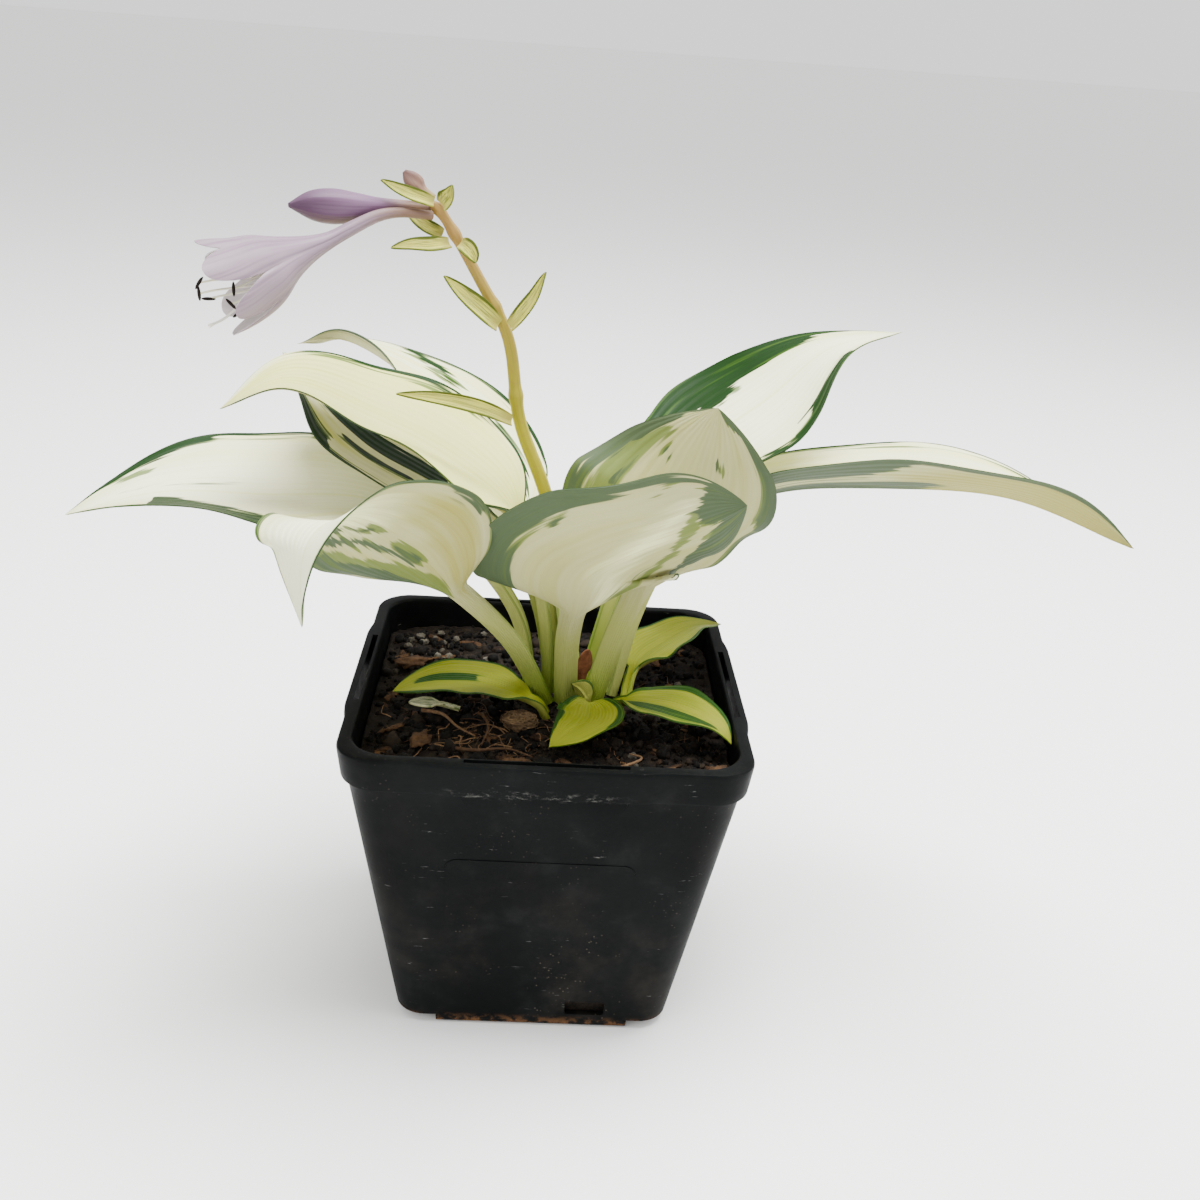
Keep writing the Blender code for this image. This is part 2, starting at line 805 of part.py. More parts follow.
def box_cutter(name, low, high, turn, cutters):
    """A box between two corners, turned about the pot's axis."""
    bm = bmesh.new()
    bmesh.ops.create_cube(bm, size=1)
    for vert in bm.verts:
        for axis in range(3):
            vert.co[axis] = (low[axis] + high[axis]) / 2 + vert.co[axis] * (high[axis] - low[axis])
    bmesh.ops.rotate(bm, verts=bm.verts, matrix=turn_about_z(turn))
    made = add_object(name, bm, cutters, smooth=False)
    made.hide_render = True
    made.display_type = "WIRE"
    return made


def turn_about_z(degrees):
    return Matrix.Rotation(math.radians(degrees), 3, "Z")


def boolean(target, other, operation):
    made = target.modifiers.new(other.name, "BOOLEAN")
    made.operation = operation
    made.solver = "EXACT"
    made.object = other


def add_pot(collection, cutters):
    pot = pot_shell(collection)
    lip = POT_HEIGHT - LIP_HEIGHT
    edge = FOOT_SPAN / 2
    slot_in = POT_TOP / 2 - 2.6
    wall = wall_half(2)
    for side in range(4):
        turn = 90 * side
        corner = box_cutter(f"pot_corner_{side}", (edge, edge, -5), (60, 60, FOOT_LIFT), turn, cutters)
        boolean(pot, corner, "DIFFERENCE")
        low = (-SLOT_LENGTH / 2, -slot_in - SLOT_WIDTH, lip - 3)
        high = (SLOT_LENGTH / 2, -slot_in, POT_HEIGHT + 3)
        slot = box_cutter(f"pot_label_slot_{side}", low, high, turn, cutters)
        boolean(pot, slot, "DIFFERENCE")
        low = (DRAIN_X - DRAIN_LENGTH / 2, -wall - 5, FLOOR + 0.4)
        high = (DRAIN_X + DRAIN_LENGTH / 2, -wall + 5, FLOOR + 0.4 + DRAIN_HEIGHT)
        drain = box_cutter(f"pot_drain_{side}", low, high, turn, cutters)
        boolean(pot, drain, "DIFFERENCE")
    boolean(pot, add_panel(cutters), "UNION")
    return pot


def add_panel(cutters):
    """The plain raised panel on the front wall, leaning with it."""
    bm = bmesh.new()
    bmesh.ops.create_cube(bm, size=1)
    for vert in bm.verts:
        z = PANEL_HIGH if vert.co.z > 0 else PANEL_LOW
        proud = PANEL_PROUD if vert.co.y < 0 else -0.6
        vert.co = (vert.co.x * PANEL_WIDTH, -wall_half(z) - proud, z)
    upright = []
    for edge in bm.edges:
        span = edge.verts[0].co - edge.verts[1].co
        if abs(span.x) < 1 and abs(span.z) < 1:
            upright.append(edge)
    bmesh.ops.bevel(bm, geom=upright, offset=3, segments=3, affect="EDGES", profile=0.5)
    made = add_object("pot_panel", bm, cutters, smooth=False)
    made.hide_render = True
    made.display_type = "WIRE"
    return made


def soil_height(x, y):
    """The soil's surface: level round the crown, gently uneven elsewhere."""
    away = math.hypot(x - CROWN_CENTRE[0], y - CROWN_CENTRE[1])
    uneven = 0.5 * math.sin(x * 0.21 + 1) * math.sin(y * 0.17) - 0.5
    return SOIL_TOP + uneven * float(ease(18, 26, away))


def add_soil(collection):
    lip = POT_HEIGHT - LIP_HEIGHT
    rings_of = [
        (FLOOR + GAP, inner_half(FLOOR) - GAP - 0.1),
        (lip - 0.5, inner_half(lip - 0.5) - GAP - 0.1),
        (SOIL_TOP, inner_half(lip) - GAP - 0.3),
    ]
    bm = bmesh.new()
    rings = []
    for z, half in rings_of:
        ring = rounded_square(half, corner_at(z), 0, z)
        rings.append([bm.verts.new(p) for p in ring])
    edge = rounded_square(inner_half(lip) - GAP - 0.3, corner_at(lip), 0, 0)
    for share in (0.86, 0.68, 0.5, 0.33, 0.16):
        ring = []
        for x, y, _ in edge:
            px = CROWN_CENTRE[0] * (1 - share) + x * share
            py = CROWN_CENTRE[1] * (1 - share) + y * share
            ring.append(bm.verts.new((px, py, soil_height(px, py))))
        rings.append(ring)
    bridge_rings(bm, rings, True, True)
    bmesh.ops.recalc_face_normals(bm, faces=bm.faces)
    return add_object("soil", bm, collection)


def add_crown(collection):
    """The low dome of stem that the leaves spring from."""
    bm = bmesh.new()
    bmesh.ops.create_uvsphere(bm, u_segments=16, v_segments=8, radius=CROWN_RADIUS)
    cut = [v for v in bm.verts if v.co.z < -0.01]
    bmesh.ops.delete(bm, geom=cut, context="VERTS")
    rim = [e for e in bm.edges if e.is_boundary]
    bmesh.ops.holes_fill(bm, edges=rim)
    for vert in bm.verts:
        vert.co.z = STAND + vert.co.z / CROWN_RADIUS * CROWN_HEIGHT
        vert.co.x += CROWN_CENTRE[0]
        vert.co.y += CROWN_CENTRE[1]
    bmesh.ops.recalc_face_normals(bm, faces=bm.faces)
    return add_object("crown", bm, collection)


def add_lump(name, place, collection, roughness):
    """A loose, uneven piece that lies on the soil."""
    x, y, length, width, height, turn = place
    bm = bmesh.new()
    bmesh.ops.create_icosphere(bm, subdivisions=2, radius=1)
    for i, vert in enumerate(bm.verts):
        uneven = 1 + roughness * math.sin(7.1 * vert.co.x + 5.3 * vert.co.y + 9.7 * vert.co.z + x)
        vert.co *= uneven
        vert.co.x *= length / 2
        vert.co.y *= width / 2
        vert.co.z *= height / 2
    bmesh.ops.rotate(bm, verts=bm.verts, matrix=turn_about_z(turn))
    base = min(v.co.z for v in bm.verts)
    for vert in bm.verts:
        vert.co.x += x
        vert.co.y += y
        vert.co.z += SOIL_TOP + GAP - base
    return add_object(name, bm, collection)


def add_root(name, path, collection):
    lifted = [(x, y, SOIL_TOP + GAP + ROOT_RADIUS + z - 1.6) for x, y, z in path]
    radii = [ROOT_RADIUS] * len(path)
    return add_stem(name, lifted, radii, 6, 9, collection)


def add_sheath(collection):
    """The dry brown sheath standing among the leaf stalks."""
    leaf = {
        "path": [
            (9.5, -0.6, 83.2, 0),
            (9.7, -0.9, 88, 0),
            (9.9, -1.2, 92, 0),
            (10.1, -1.4, 96, 0),
            (10.3, -1.6, 100, 0),
        ],
        "heading": -60,
        "width": 4.5,
        "petiole": 4,
        "shape": (0.5, 0.8),
        "cup": (10, 30, 10, 30),
    }
    points, weights = leaf_sheet(leaf, 3, 5, np.linspace(-1, 1, 5))
    return sheet_object("sheath_dry", points, np.ones(len(weights)), 0.6, collection)


def add_buried_leaf(collection):
    """The pale tip of a small leaf that lies half in the soil."""
    leaf = {
        "path": [
            (-24, -11.5, 84.2, 0),
            (-27, -11, 84.8, 0),
            (-30, -10.6, 85.2, 0),
            (-34, -10, 85.2, 0),
            (-38, -9, 84.9, 0),
        ],
        "heading": 170,
        "width": 5,
        "petiole": 2,
        "shape": (0.6, 0.9),
        "cup": (5, 20, 5, 20),
    }
    points, weights = leaf_sheet(leaf, 2, 6, np.linspace(-1, 1, 5))
    return sheet_object("leaf_buried", points, np.ones(len(weights)), 0.6, collection)


def clear_scene():
    for made in list(bpy.data.objects):
        bpy.data.objects.remove(made, do_unlink=True)


def main():
    clear_scene()
    plant = bpy.data.collections.new("potted_hosta")
    cutters = bpy.data.collections.new("cutters")
    bpy.context.scene.collection.children.link(plant)
    bpy.context.scene.collection.children.link(cutters)
    cutters.hide_render = True
    add_pot(plant, cutters)
    add_soil(plant)
    add_crown(plant)
    for name, leaf in LEAVES.items():
        add_leaf(name, leaf, plant)
    add_buried_leaf(plant)
    add_sheath(plant)
    add_stem("scape", SCAPE_PATH, SCAPE_RADII, 10, 18, plant)
    for name, bract in BRACTS.items():
        add_bract(name, bract, plant)
    add_open_flower(plant)
    add_stamens(plant)
    add_stem("flower_bud", BUD_PATH, BUD_RADII, 12, 12, plant)
    add_stem("bud_young", YOUNG_BUD_PATH, YOUNG_BUD_RADII, 8, 6, plant)
    for i, place in enumerate(PERLITE):
        add_lump(f"perlite_{i + 1}", place, plant, 0.10)
    for i, place in enumerate(BARK):
        add_lump(f"bark_{i + 1}", place, plant, 0.08)
    add_lump("clump", CLUMP, plant, 0.10)
    for name, path in ROOTS.items():
        add_root(name, path, plant)


main()
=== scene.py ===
import math

import bmesh
import bpy
import numpy as np
from mathutils import Matrix, Vector, noise


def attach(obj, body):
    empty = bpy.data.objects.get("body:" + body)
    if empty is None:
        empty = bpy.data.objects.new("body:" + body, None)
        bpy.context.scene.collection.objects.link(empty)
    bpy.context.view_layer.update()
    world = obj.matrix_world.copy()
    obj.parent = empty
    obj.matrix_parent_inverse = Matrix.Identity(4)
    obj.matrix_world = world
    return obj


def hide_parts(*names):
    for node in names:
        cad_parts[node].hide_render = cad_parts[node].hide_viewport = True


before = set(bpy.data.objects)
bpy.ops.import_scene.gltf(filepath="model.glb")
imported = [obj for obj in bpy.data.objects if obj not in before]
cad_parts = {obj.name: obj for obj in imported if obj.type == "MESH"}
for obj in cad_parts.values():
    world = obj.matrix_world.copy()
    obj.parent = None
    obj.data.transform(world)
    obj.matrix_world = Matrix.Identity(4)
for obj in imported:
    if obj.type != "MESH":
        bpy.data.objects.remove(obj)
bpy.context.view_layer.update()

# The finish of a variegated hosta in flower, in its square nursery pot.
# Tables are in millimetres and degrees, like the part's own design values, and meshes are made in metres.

MM = 0.001
SEED = 7

# The pot.
POT_TOP = 105.0
POT_BOTTOM = 75.0
POT_HEIGHT = 91.0
LIP_HEIGHT = 9.2
LIP = POT_HEIGHT - LIP_HEIGHT
LIP_STEP = 1.3
LIP_BULGE = 0.9
WALL = 1.4
RIM_WALL = 3.6
FLOOR = 4.4
CORNER_TOP = 10.0
CORNER_BOTTOM = 8.0
FOOT_SPAN = 53.0
FOOT_LIFT = 3.0
SLOT_LENGTH = 41.0
SLOT_WIDTH = 1.5
DRAIN_LENGTH = 11.0
DRAIN_HEIGHT = 5.0
DRAIN_X = 14.6
PANEL_WIDTH = 49.0
PANEL_LOW = 38.0
PANEL_HIGH = 60.0
PANEL_PROUD = 0.18

SOIL_TOP = 82.6
SOIL_CLEARANCE = 0.4
GAP = 0.3
CROWN_CENTRE = (7.0, 5.0)

BLADE_THICKNESS = 0.55
PETIOLE_THICKNESS = 1.6
FOOT_INDEX = 2
# Edges of a leaf or bract that turn by more than this many degrees are drawn sharp.
SHEET_SHARP = 50

# Leaves. Each path runs from the crown along the midrib to the tip: x, y, z and the roll about the midrib.
# The blade starts at the third point. Heading is where the leaf points, seen from above.
# Shape holds the two exponents of the outline, and cup the angles of the left and the right half,
# each at the midrib and at the margin. Each green row pairs places from the blade's foot (0) to its
# tip (1) with the width of the green margin there, as a share of the half blade.
LEAVES = {
    "leaf_front": {
        "path": [
            (4.5, -3.5, 83.2, -50), (4.3, -11, 105, -39), (5.5, -18, 118, -34), (7.5, -24, 130, -26),
            (17.5, -29, 139, -24), (32, -32, 147, -27), (45, -31, 154, -38),
        ],
        "heading": -50,
        "width": 66,
        "petiole": 9,
        "shape": (0.51, 0.83),
        "cup": (7, 20, 0, 13),
        "green_left": [(0, 0.02), (0.2, 0.04), (0.35, 0.14), (0.5, 0.2), (1, 0.2)],
        "green_right": [
            (0, 0.08), (0.05, 0.34), (0.16, 0.36), (0.28, 0.26), (0.4, 0.24), (0.58, 0.16), (0.66, 0.06),
            (1, 0.05),
        ],
    },
    "leaf_front_right": {
        "path": [
            (13.5, -3.5, 83.2, 40), (18.4, -4, 103.5, 25), (23.8, -6.7, 121.1, 18), (27.7, -7.5, 134.2, 17),
            (32.6, -8.7, 147.1, 9), (35.8, -8.3, 160, -2), (38.8, -6.8, 171.4, -4),
        ],
        "heading": -90,
        "width": 61.4,
        "petiole": 9,
        "shape": (0.6, 0.88),
        "cup": (14, 23, 9, 19),
        "green_left": [(0, 0.03), (0.42, 0.03), (0.5, 0.2), (0.9, 0.22), (0.94, 0.5), (1, 0.7)],
        "green_right": [
            (0, 0.04), (0.3, 0.05), (0.7, 0.08), (0.74, 0.3), (0.88, 0.3), (0.93, 0.12), (1, 0.3),
        ],
    },
    "leaf_upper_right": {
        "path": [
            (12.5, 13, 83.2, 25), (20.5, 22, 113, 22), (29.5, 31, 138.8, 17), (45, 37.4, 151.9, 6),
            (61.5, 42.5, 164, 4), (76.5, 46.7, 177, -3), (97.6, 48.4, 183.1, 0),
        ],
        "heading": 25,
        "width": 54.2,
        "petiole": 7,
        "shape": (0.66, 1.28),
        "cup": (0, 14, 0, 14),
        "green_left": [
            (0, 0.12), (0.1, 0.25), (0.2, 0.38), (0.3, 0.58), (0.35, 0.62), (0.4, 0.55), (0.5, 0.45),
            (0.6, 0.4), (0.68, 0.35), (0.75, 0.2), (0.85, 0.05), (1, 0.02),
        ],
        "green_right": [(0, 0.03), (0.42, 0.05), (0.46, 0.28), (0.76, 0.26), (0.8, 0.05), (1, 0.03)],
    },
    "leaf_right": {
        "path": [
            (18.8, 4.5, 83.2, 15), (26.1, 12, 109.5, 5), (39.1, 17.6, 132.4, -2), (58.8, 16.6, 142.7, -6),
            (89.3, 8.3, 148.7, -7), (120.4, -0.8, 150.4, -9), (153.2, -8.2, 140.3, -32),
        ],
        "heading": -5,
        "width": 45.9,
        "petiole": 7,
        "shape": (0.79, 1.01),
        "cup": (15, 29, 18, 33),
        "green_left": [(0, 0.05), (0.3, 0.05), (0.6, 0.04), (1, 0.06)],
        "green_right": [(0, 0.05), (0.15, 0.3), (0.3, 0.5), (0.42, 0.4), (0.52, 0.1), (1, 0.08)],
    },
    "leaf_upper_left": {
        "path": [
            (-0.5, 7, 83.2, -25), (-3, 3, 109, -20), (-12, -1.5, 137.4, -16), (-29, -1.6, 151.6, -8),
            (-50, -1.5, 161.8, -3), (-70.1, -3.8, 170, -3), (-86.2, -8.1, 163.9, -6),
        ],
        "heading": 185,
        "width": 52,
        "petiole": 9,
        "shape": (0.68, 1.17),
        "cup": (7, 19, 15, 27),
        "green_left": [(0, 0.05), (0.5, 0.03), (1, 0.05)],
        "green_right": [(0, 0.06), (0.15, 0.06), (0.25, 0.07), (0.75, 0.07), (0.8, 0.02), (1, 0.02)],
    },
    "leaf_left": {
        "path": [
            (-5.5, 4.5, 83.2, -10), (-11, 5.6, 107, -11), (-31, 7, 129, -9), (-52, 4.5, 138, -5),
            (-76, -2.5, 140, -6), (-101, -11, 142, -3), (-122.3, -20, 138, 4),
        ],
        "heading": 190,
        "width": 56.5,
        "petiole": 7,
        "shape": (0.8, 0.99),
        "cup": (5, 16, 7, 19),
        "green_left": [
            (0, 0.02), (0.5, 0.04), (0.52, 0.3), (0.55, 0.38), (0.6, 0.5), (0.7, 0.58), (0.75, 0.7),
            (0.78, 0.8), (0.81, 0.1), (1, 0.06),
        ],
        "green_right": [
            (0, 0.04), (0.14, 0.05), (0.2, 0.14), (0.31, 0.14), (0.35, 0.05), (0.6, 0.05), (0.66, 0.13),
            (0.9, 0.12), (1, 0.1),
        ],
    },
    "leaf_front_left": {
        "path": [
            (-2, -2.5, 83.4, -5), (-11.7, -13, 105.5, 15), (-25.9, -27.4, 125.8, 35), (-38, -41, 141, 42),
            (-50.5, -52.5, 152, 23), (-55.6, -61.5, 148.5, 9), (-56.5, -64, 130.6, 10),
        ],
        "heading": 215,
        "width": 50,
        "petiole": 8,
        "shape": (0.67, 0.95),
        "cup": (10, 21, 4, 13),
        "green_left": [(0, 0.02), (0.22, 0.03), (0.27, 0.11), (0.43, 0.1), (0.47, 0.03), (1, 0.04)],
        "green_right": [(0, 0.04), (0.38, 0.06), (0.5, 0.04), (1, 0.04)],
    },
    "leaf_back_left": {
        "path": [
            (0.5, 13.5, 83.2, -35), (-5, 11.4, 108.7, -17), (-18.9, 11.1, 134.8, -6),
            (-33.6, 12.1, 146.1, -7), (-49, 14.9, 154, -11), (-63.3, 18.6, 163, -9),
            (-75.9, 21.3, 172.5, 3),
        ],
        "heading": 165,
        "width": 53.5,
        "petiole": 7,
        "shape": (0.76, 1),
        "cup": (2, 14, -3, 3),
        "green_left": [(0, 0.05), (0.58, 0.05), (0.62, 0.25), (0.82, 0.25), (1, 0.2)],
        "green_right": [(0, 0.05), (0.5, 0.06), (1, 0.3)],
    },
    "leaf_back": {
        "path": [
            (6.8, 19, 83.2, -60), (2.5, 31.1, 101.7, -32), (-8.9, 48.4, 122.7, -12), (-25, 62.8, 138.8, -5),
            (-45.5, 71, 154.7, 3), (-66.8, 71.2, 166.2, 30), (-79.6, 62.8, 165.6, 65),
        ],
        "heading": 160,
        "width": 49,
        "petiole": 7,
        "shape": (0.87, 1.64),
        "cup": (10, 26, 4, 16),
        "green_left": [(0, 0.05), (0.5, 0.06), (1, 0.2)],
        "green_right": [(0, 0.04), (1, 0.05)],
    },
    "leaf_low_left": {
        "path": [
            (-1, -11, 83.3, 0), (-2.6, -11.4, 86.5, 0), (-5.2, -11.2, 88, 1), (-11, -10, 89.9, 2),
            (-20.5, -7.6, 91, 0), (-31.3, -8, 90.8, -4), (-42.3, -9.7, 88.2, -7),
        ],
        "heading": 180,
        "width": 20.7,
        "petiole": 5,
        "shape": (0.62, 0.87),
        "cup": (6, 16, 6, 16),
        "green_left": [(0, 0.05), (0.5, 0.06), (1, 0.3)],
        "green_right": [(0, 0.05), (1, 0.1)],
    },
    "leaf_low_front": {
        "path": [
            (9.5, -10, 83.2, 0), (10.5, -12, 87, 0), (11, -14.5, 89.4, -1), (11.5, -19.5, 90, -1),
            (10.5, -25, 90, 0), (6.5, -30, 89.5, 2), (0.5, -34.8, 87.1, 0),
        ],
        "heading": -105,
        "width": 17.5,
        "petiole": 5,
        "shape": (0.5, 1.0),
        "cup": (6, 16, 5, 15),
        "green_left": [(0, 0.1), (0.05, 0.2), (0.45, 0.2), (0.55, 0.05), (1, 0.05)],
        "green_right": [(0, 0.1), (0.05, 0.2), (0.8, 0.2), (1, 0.05)],
    },
    "leaf_low_right": {
        "path": [
            (17.5, -8, 83.2, 0), (18.3, -9.4, 86.6, -1), (21, -11.4, 88.8, -2), (28, -15, 91, 0),
            (37.2, -20.9, 91.8, 1), (44.8, -26.5, 90.5, -5), (48.2, -30.5, 88, -16),
        ],
        "heading": -30,
        "width": 19.6,
        "petiole": 5,
        "shape": (0.59, 0.93),
        "cup": (5, 15, 6, 16),
        "green_left": [(0, 0.2), (0.5, 0.25), (0.8, 0.2), (1, 0.2)],
        "green_right": [(0, 0.05), (1, 0.1)],
    },
    "leaf_low_back_right": {
        "path": [
            (22.8, 1.2, 83.2, 0), (23.4, 4.8, 86.5, -1), (24.9, 9.8, 89.2, -3), (28.5, 15.4, 91.6, -8),
            (34.8, 20.2, 94.1, -11), (42, 24.8, 96.6, -11), (51.3, 28, 96.7, -6),
        ],
        "heading": 35,
        "width": 24.4,
        "petiole": 4,
        "shape": (0.59, 1.01),
        "cup": (4, 14, 7, 17),
        "green_left": [(0, 0.04), (1, 0.1)],
        "green_right": [(0, 0.04), (1, 0.1)],
    },
    "leaf_low_shoot": {
        "path": [
            (10.6, -6.6, 83.2, 0), (10.8, -6.9, 85.4, 0), (10.6, -7.4, 87.2, 0), (9.9, -8.0, 89.2, 0),
            (8.8, -8.6, 91.0, 0), (7.6, -9.2, 92.3, 0), (6.4, -9.8, 93.2, 0),
        ],
        "heading": -90,
        "width": 6.5,
        "petiole": 2.4,
        "shape": (0.6, 0.9),
        "cup": (25, 55, 25, 55),
        "green_left": [(0, 0.2), (0.5, 0.2), (1, 0.3)],
        "green_right": [(0, 0.2), (0.5, 0.25), (1, 0.3)],
    },
}
LOW_LEAVES = [name for name in LEAVES if name.startswith("leaf_low")]

# Strokes on the leaves, over the margins above: a tone, half a width, and points given as (across, along).
# A "beyond" line turns everything past it dark.
MARKS = {
    "leaf_front": [
        (
            "beyond",
            0,
            [
                (-1, 0.34), (-0.9, 0.42), (-0.7, 0.6), (-0.5, 0.72), (-0.3, 0.78), (-0.1, 0.88), (0.1, 0.8),
                (0.3, 0.79), (0.5, 0.83), (0.7, 0.85), (0.9, 0.88), (1, 0.9),
            ],
        ),
        ("fresh", 0.07, [(-0.5, 0.08), (-0.5, 0.45), (-0.4, 0.6), (0, 0.74), (0.3, 0.8)]),
        ("pale", 0.05, [(-0.75, 0.55), (-0.5, 0.68), (-0.05, 0.87)]),
        ("dark", 0.05, [(0.85, 0.22), (1, 0.3)]),
        ("dark", 0.045, [(0.7, 0.38), (0.86, 0.52), (0.93, 0.65), (0.9, 0.86)]),
        ("fresh", 0.03, [(0.62, 0.62), (0.72, 0.7), (0.85, 0.78)]),
        ("light", 0.09, [(-0.25, 0.08), (-0.1, 0.4), (0.1, 0.6), (0.42, 0.78)]),
    ],
    "leaf_front_right": [
        ("fresh", 0.15, [(0.72, 0.36), (0.7, 0.6), (0.66, 0.8)]),
        ("dark", 0.065, [(0.9, 0.25), (0.87, 0.5), (0.88, 0.75)]),
        ("dark", 0.025, [(0.66, 0.46), (0.62, 0.66)]), ("dark", 0.03, [(-0.27, 0.7), (-0.23, 0.735)]),
        ("dark", 0.03, [(0.34, 0.7), (0.38, 0.73)]),
    ],
    "leaf_upper_right": [
        ("light", 0.6, [(0.1, 0.2), (0.1, 0.9)]), ("fresh", 0.05, [(-0.85, 0.28), (-0.75, 0.6)]),
        ("fresh", 0.05, [(-0.6, 0.26), (-0.45, 0.42)]), ("dark", 0.03, [(0.9, 0.3), (1, 0.4)]),
        ("dark", 0.03, [(0.73, 0.47), (0.75, 0.55)]), ("pale", 0.05, [(0.86, 0.4), (0.85, 0.5)]),
    ],
    "leaf_right": [
        ("warm", 0.8, [(0.2, 0.75), (0, 1.0)]), ("dark", 0.16, [(0.12, 0.15), (0.16, 0.35), (0.2, 0.5)]),
        ("fresh", 0.06, [(0.4, 0.2), (0.46, 0.4)]), ("fresh", 0.05, [(-0.3, 0.2), (-0.35, 0.45)]),
    ],
    "leaf_left": [
        ("light", 0.5, [(0.1, 0.2), (0.1, 0.8)]), ("pale", 0.03, [(-0.65, 0.55), (-0.64, 0.6)]),
        ("fresh", 0.022, [(0.2, 0.4), (0.22, 0.5), (0.14, 0.7), (0.25, 0.85)]),
        ("fresh", 0.04, [(0.6, 0.78), (0.85, 0.87)]),
        ("dark", 0.045, [(0.92, 0.64), (0.86, 0.75), (0.92, 0.9)]),
    ],
    "leaf_front_left": [
        ("fresh", 0.22, [(0.1, 0.08), (0.35, 0.22), (0.7, 0.33), (0.9, 0.36)]),
        ("dark", 0.19, [(0.5, 0.06), (0.55, 0.2), (0.82, 0.33)]),
        ("dark", 0.05, [(-0.05, 0.25), (0, 0.35), (0.2, 0.43), (0.6, 0.46)]),
        ("dark", 0.03, [(-0.1, 0.47), (0.1, 0.52), (0.45, 0.5)]), ("light", 0.9, [(0, 0.82), (0, 1.1)]),
        ("warm", 0.14, [(-0.3, 0.08), (-0.3, 0.27)]), ("warm", 0.2, [(-0.6, 0.05), (-0.6, 0.4)]),
    ],
    "leaf_back_left": [
        ("dark", 0.17, [(-0.24, 0.25), (-0.24, 0.72)]), ("dark", 0.05, [(-0.55, 0.33), (-0.55, 0.58)]),
        ("warm", 0.12, [(-0.7, 0.58), (-0.66, 0.7)]),
    ],
    "leaf_upper_left": [("warm", 1.1, [(0, 0.0), (0, 0.62)])],
    "leaf_back": [
        ("dark", 0.05, [(0.35, 0.05), (0.5, 0.15), (0.55, 0.3)]),
        ("dark", 0.05, [(0.6, 0.5), (0.95, 0.65)]), ("fresh", 0.04, [(0.5, 0.52), (0.8, 0.64)]),
    ],
    "leaf_low_left": [("dark", 0.15, [(0.2, 0.45), (0.2, 0.78)])],
    "leaf_low_right": [
        ("dark", 0.24, [(0.4, 0.12), (0.4, 0.78)]), ("fresh", 0.1, [(0.75, 0.2), (0.7, 0.7)]),
    ],
}
# A blade counts as this many half widths long, so that a stroke is about as wide along it as across.
LONG = 2.6

# The flower stem, from the crown to its last node.
SCAPE_PATH = [
    (7, 5, 87.8), (5.2, 3.4, 102), (2, 0.5, 122), (-3.8, -2, 145), (-11.2, -2, 163.5), (-15.2, -2, 185),
    (-22.6, -2, 198.6), (-33.4, -2, 215.2),
]
SCAPE_RADII = [2.0, 1.9, 1.8, 1.75, 1.65, 1.5, 1.35, 1.2]
# The stalk narrows past its last point, where the flower stalks leave it.
SCAPE_TIP = (-35.0, -2.4, 216.2)
SCAPE_TIP_RADIUS = 0.8

# Bracts on the flower stem: path with roll, heading and width.
BRACTS = {
    "bract_low": {
        "path": [
            (-13.5, -4, 163.9, -50), (-20.1, -6.5, 167, -50), (-31.1, -10.5, 170.2, -50),
            (-41.6, -14, 172, -50),
        ],
        "heading": 200,
        "width": 4.9,
    },
    "bract_mid_left": {
        "path": [
            (-17.9, -4.4, 188.2, -55), (-22.7, -6, 192.4, -55), (-27.1, -7.6, 196.3, -55),
            (-31, -8.6, 200.3, -55),
        ],
        "heading": 190,
        "width": 6,
    },
    "bract_mid_right": {
        "path": [
            (-14.3, -4.4, 187.9, 55), (-11.4, -4.8, 191.4, 55), (-8.4, -5, 196.1, 55),
            (-6.5, -5, 202.2, 55),
        ],
        "heading": -20,
        "width": 5.6,
    },
    "bract_upper_long": {
        "path": [
            (-30.3, -3.8, 207.2, -50), (-34.7, -6.4, 206.8, -50), (-39.2, -8.6, 206.9, -50),
            (-43.5, -10.6, 206.4, -50),
        ],
        "heading": 195,
        "width": 4.4,
    },
    "bract_upper_short": {
        "path": [
            (-32.2, -2.0, 209, -50), (-35, -0.9, 209.8, -50), (-38.4, 1.1, 211.3, -50),
            (-40.9, 2.3, 212.7, -50),
        ],
        "heading": 180,
        "width": 4.2,
    },
    "bract_upper_right": {
        "path": [
            (-27.6, -4.2, 207.4, 50), (-26.1, -4.8, 206.7, 50), (-24.6, -5.2, 205.2, 50),
            (-23.6, -5.4, 203.4, 50),
        ],
        "heading": -20,
        "width": 4.6,
    },
    "bract_top_long": {
        "path": [
            (-34.2, -4.3, 216.5, -50), (-39.2, -5.4, 218, -50), (-42.9, -6.4, 219.5, -50),
            (-46.3, -7.8, 221.5, -50),
        ],
        "heading": 190,
        "width": 4.2,
    },
    "bract_top_right": {
        "path": [
            (-31.8, -3.1, 215.8, 55), (-30.4, -3.5, 217.7, 55), (-29.9, -3.7, 219.4, 55),
            (-29.9, -3.8, 221, 55),
        ],
        "heading": -10,
        "width": 6.4,
    },
}

# The open flower's axis, from its stalk to the mouth, with the outer radius at each point.
FLOWER_PATH = [
    (-34.6, -3.4, 213.6), (-42.1, -7.6, 214.3), (-46.6, -10.5, 213.6), (-52.2, -14, 210.9),
    (-56.9, -17, 208.3), (-61.2, -20, 206.4), (-65.5, -23, 204.5), (-70, -26, 202.2), (-74.6, -29, 200),
    (-79.1, -32, 198.4), (-84.4, -35.5, 196.9),
]
FLOWER_RADII = [1.1, 1.2, 1.4, 1.6, 1.85, 3.0, 5.0, 7.9, 9.3, 9.8, 9.9]
FLOWER_WALL = 0.5
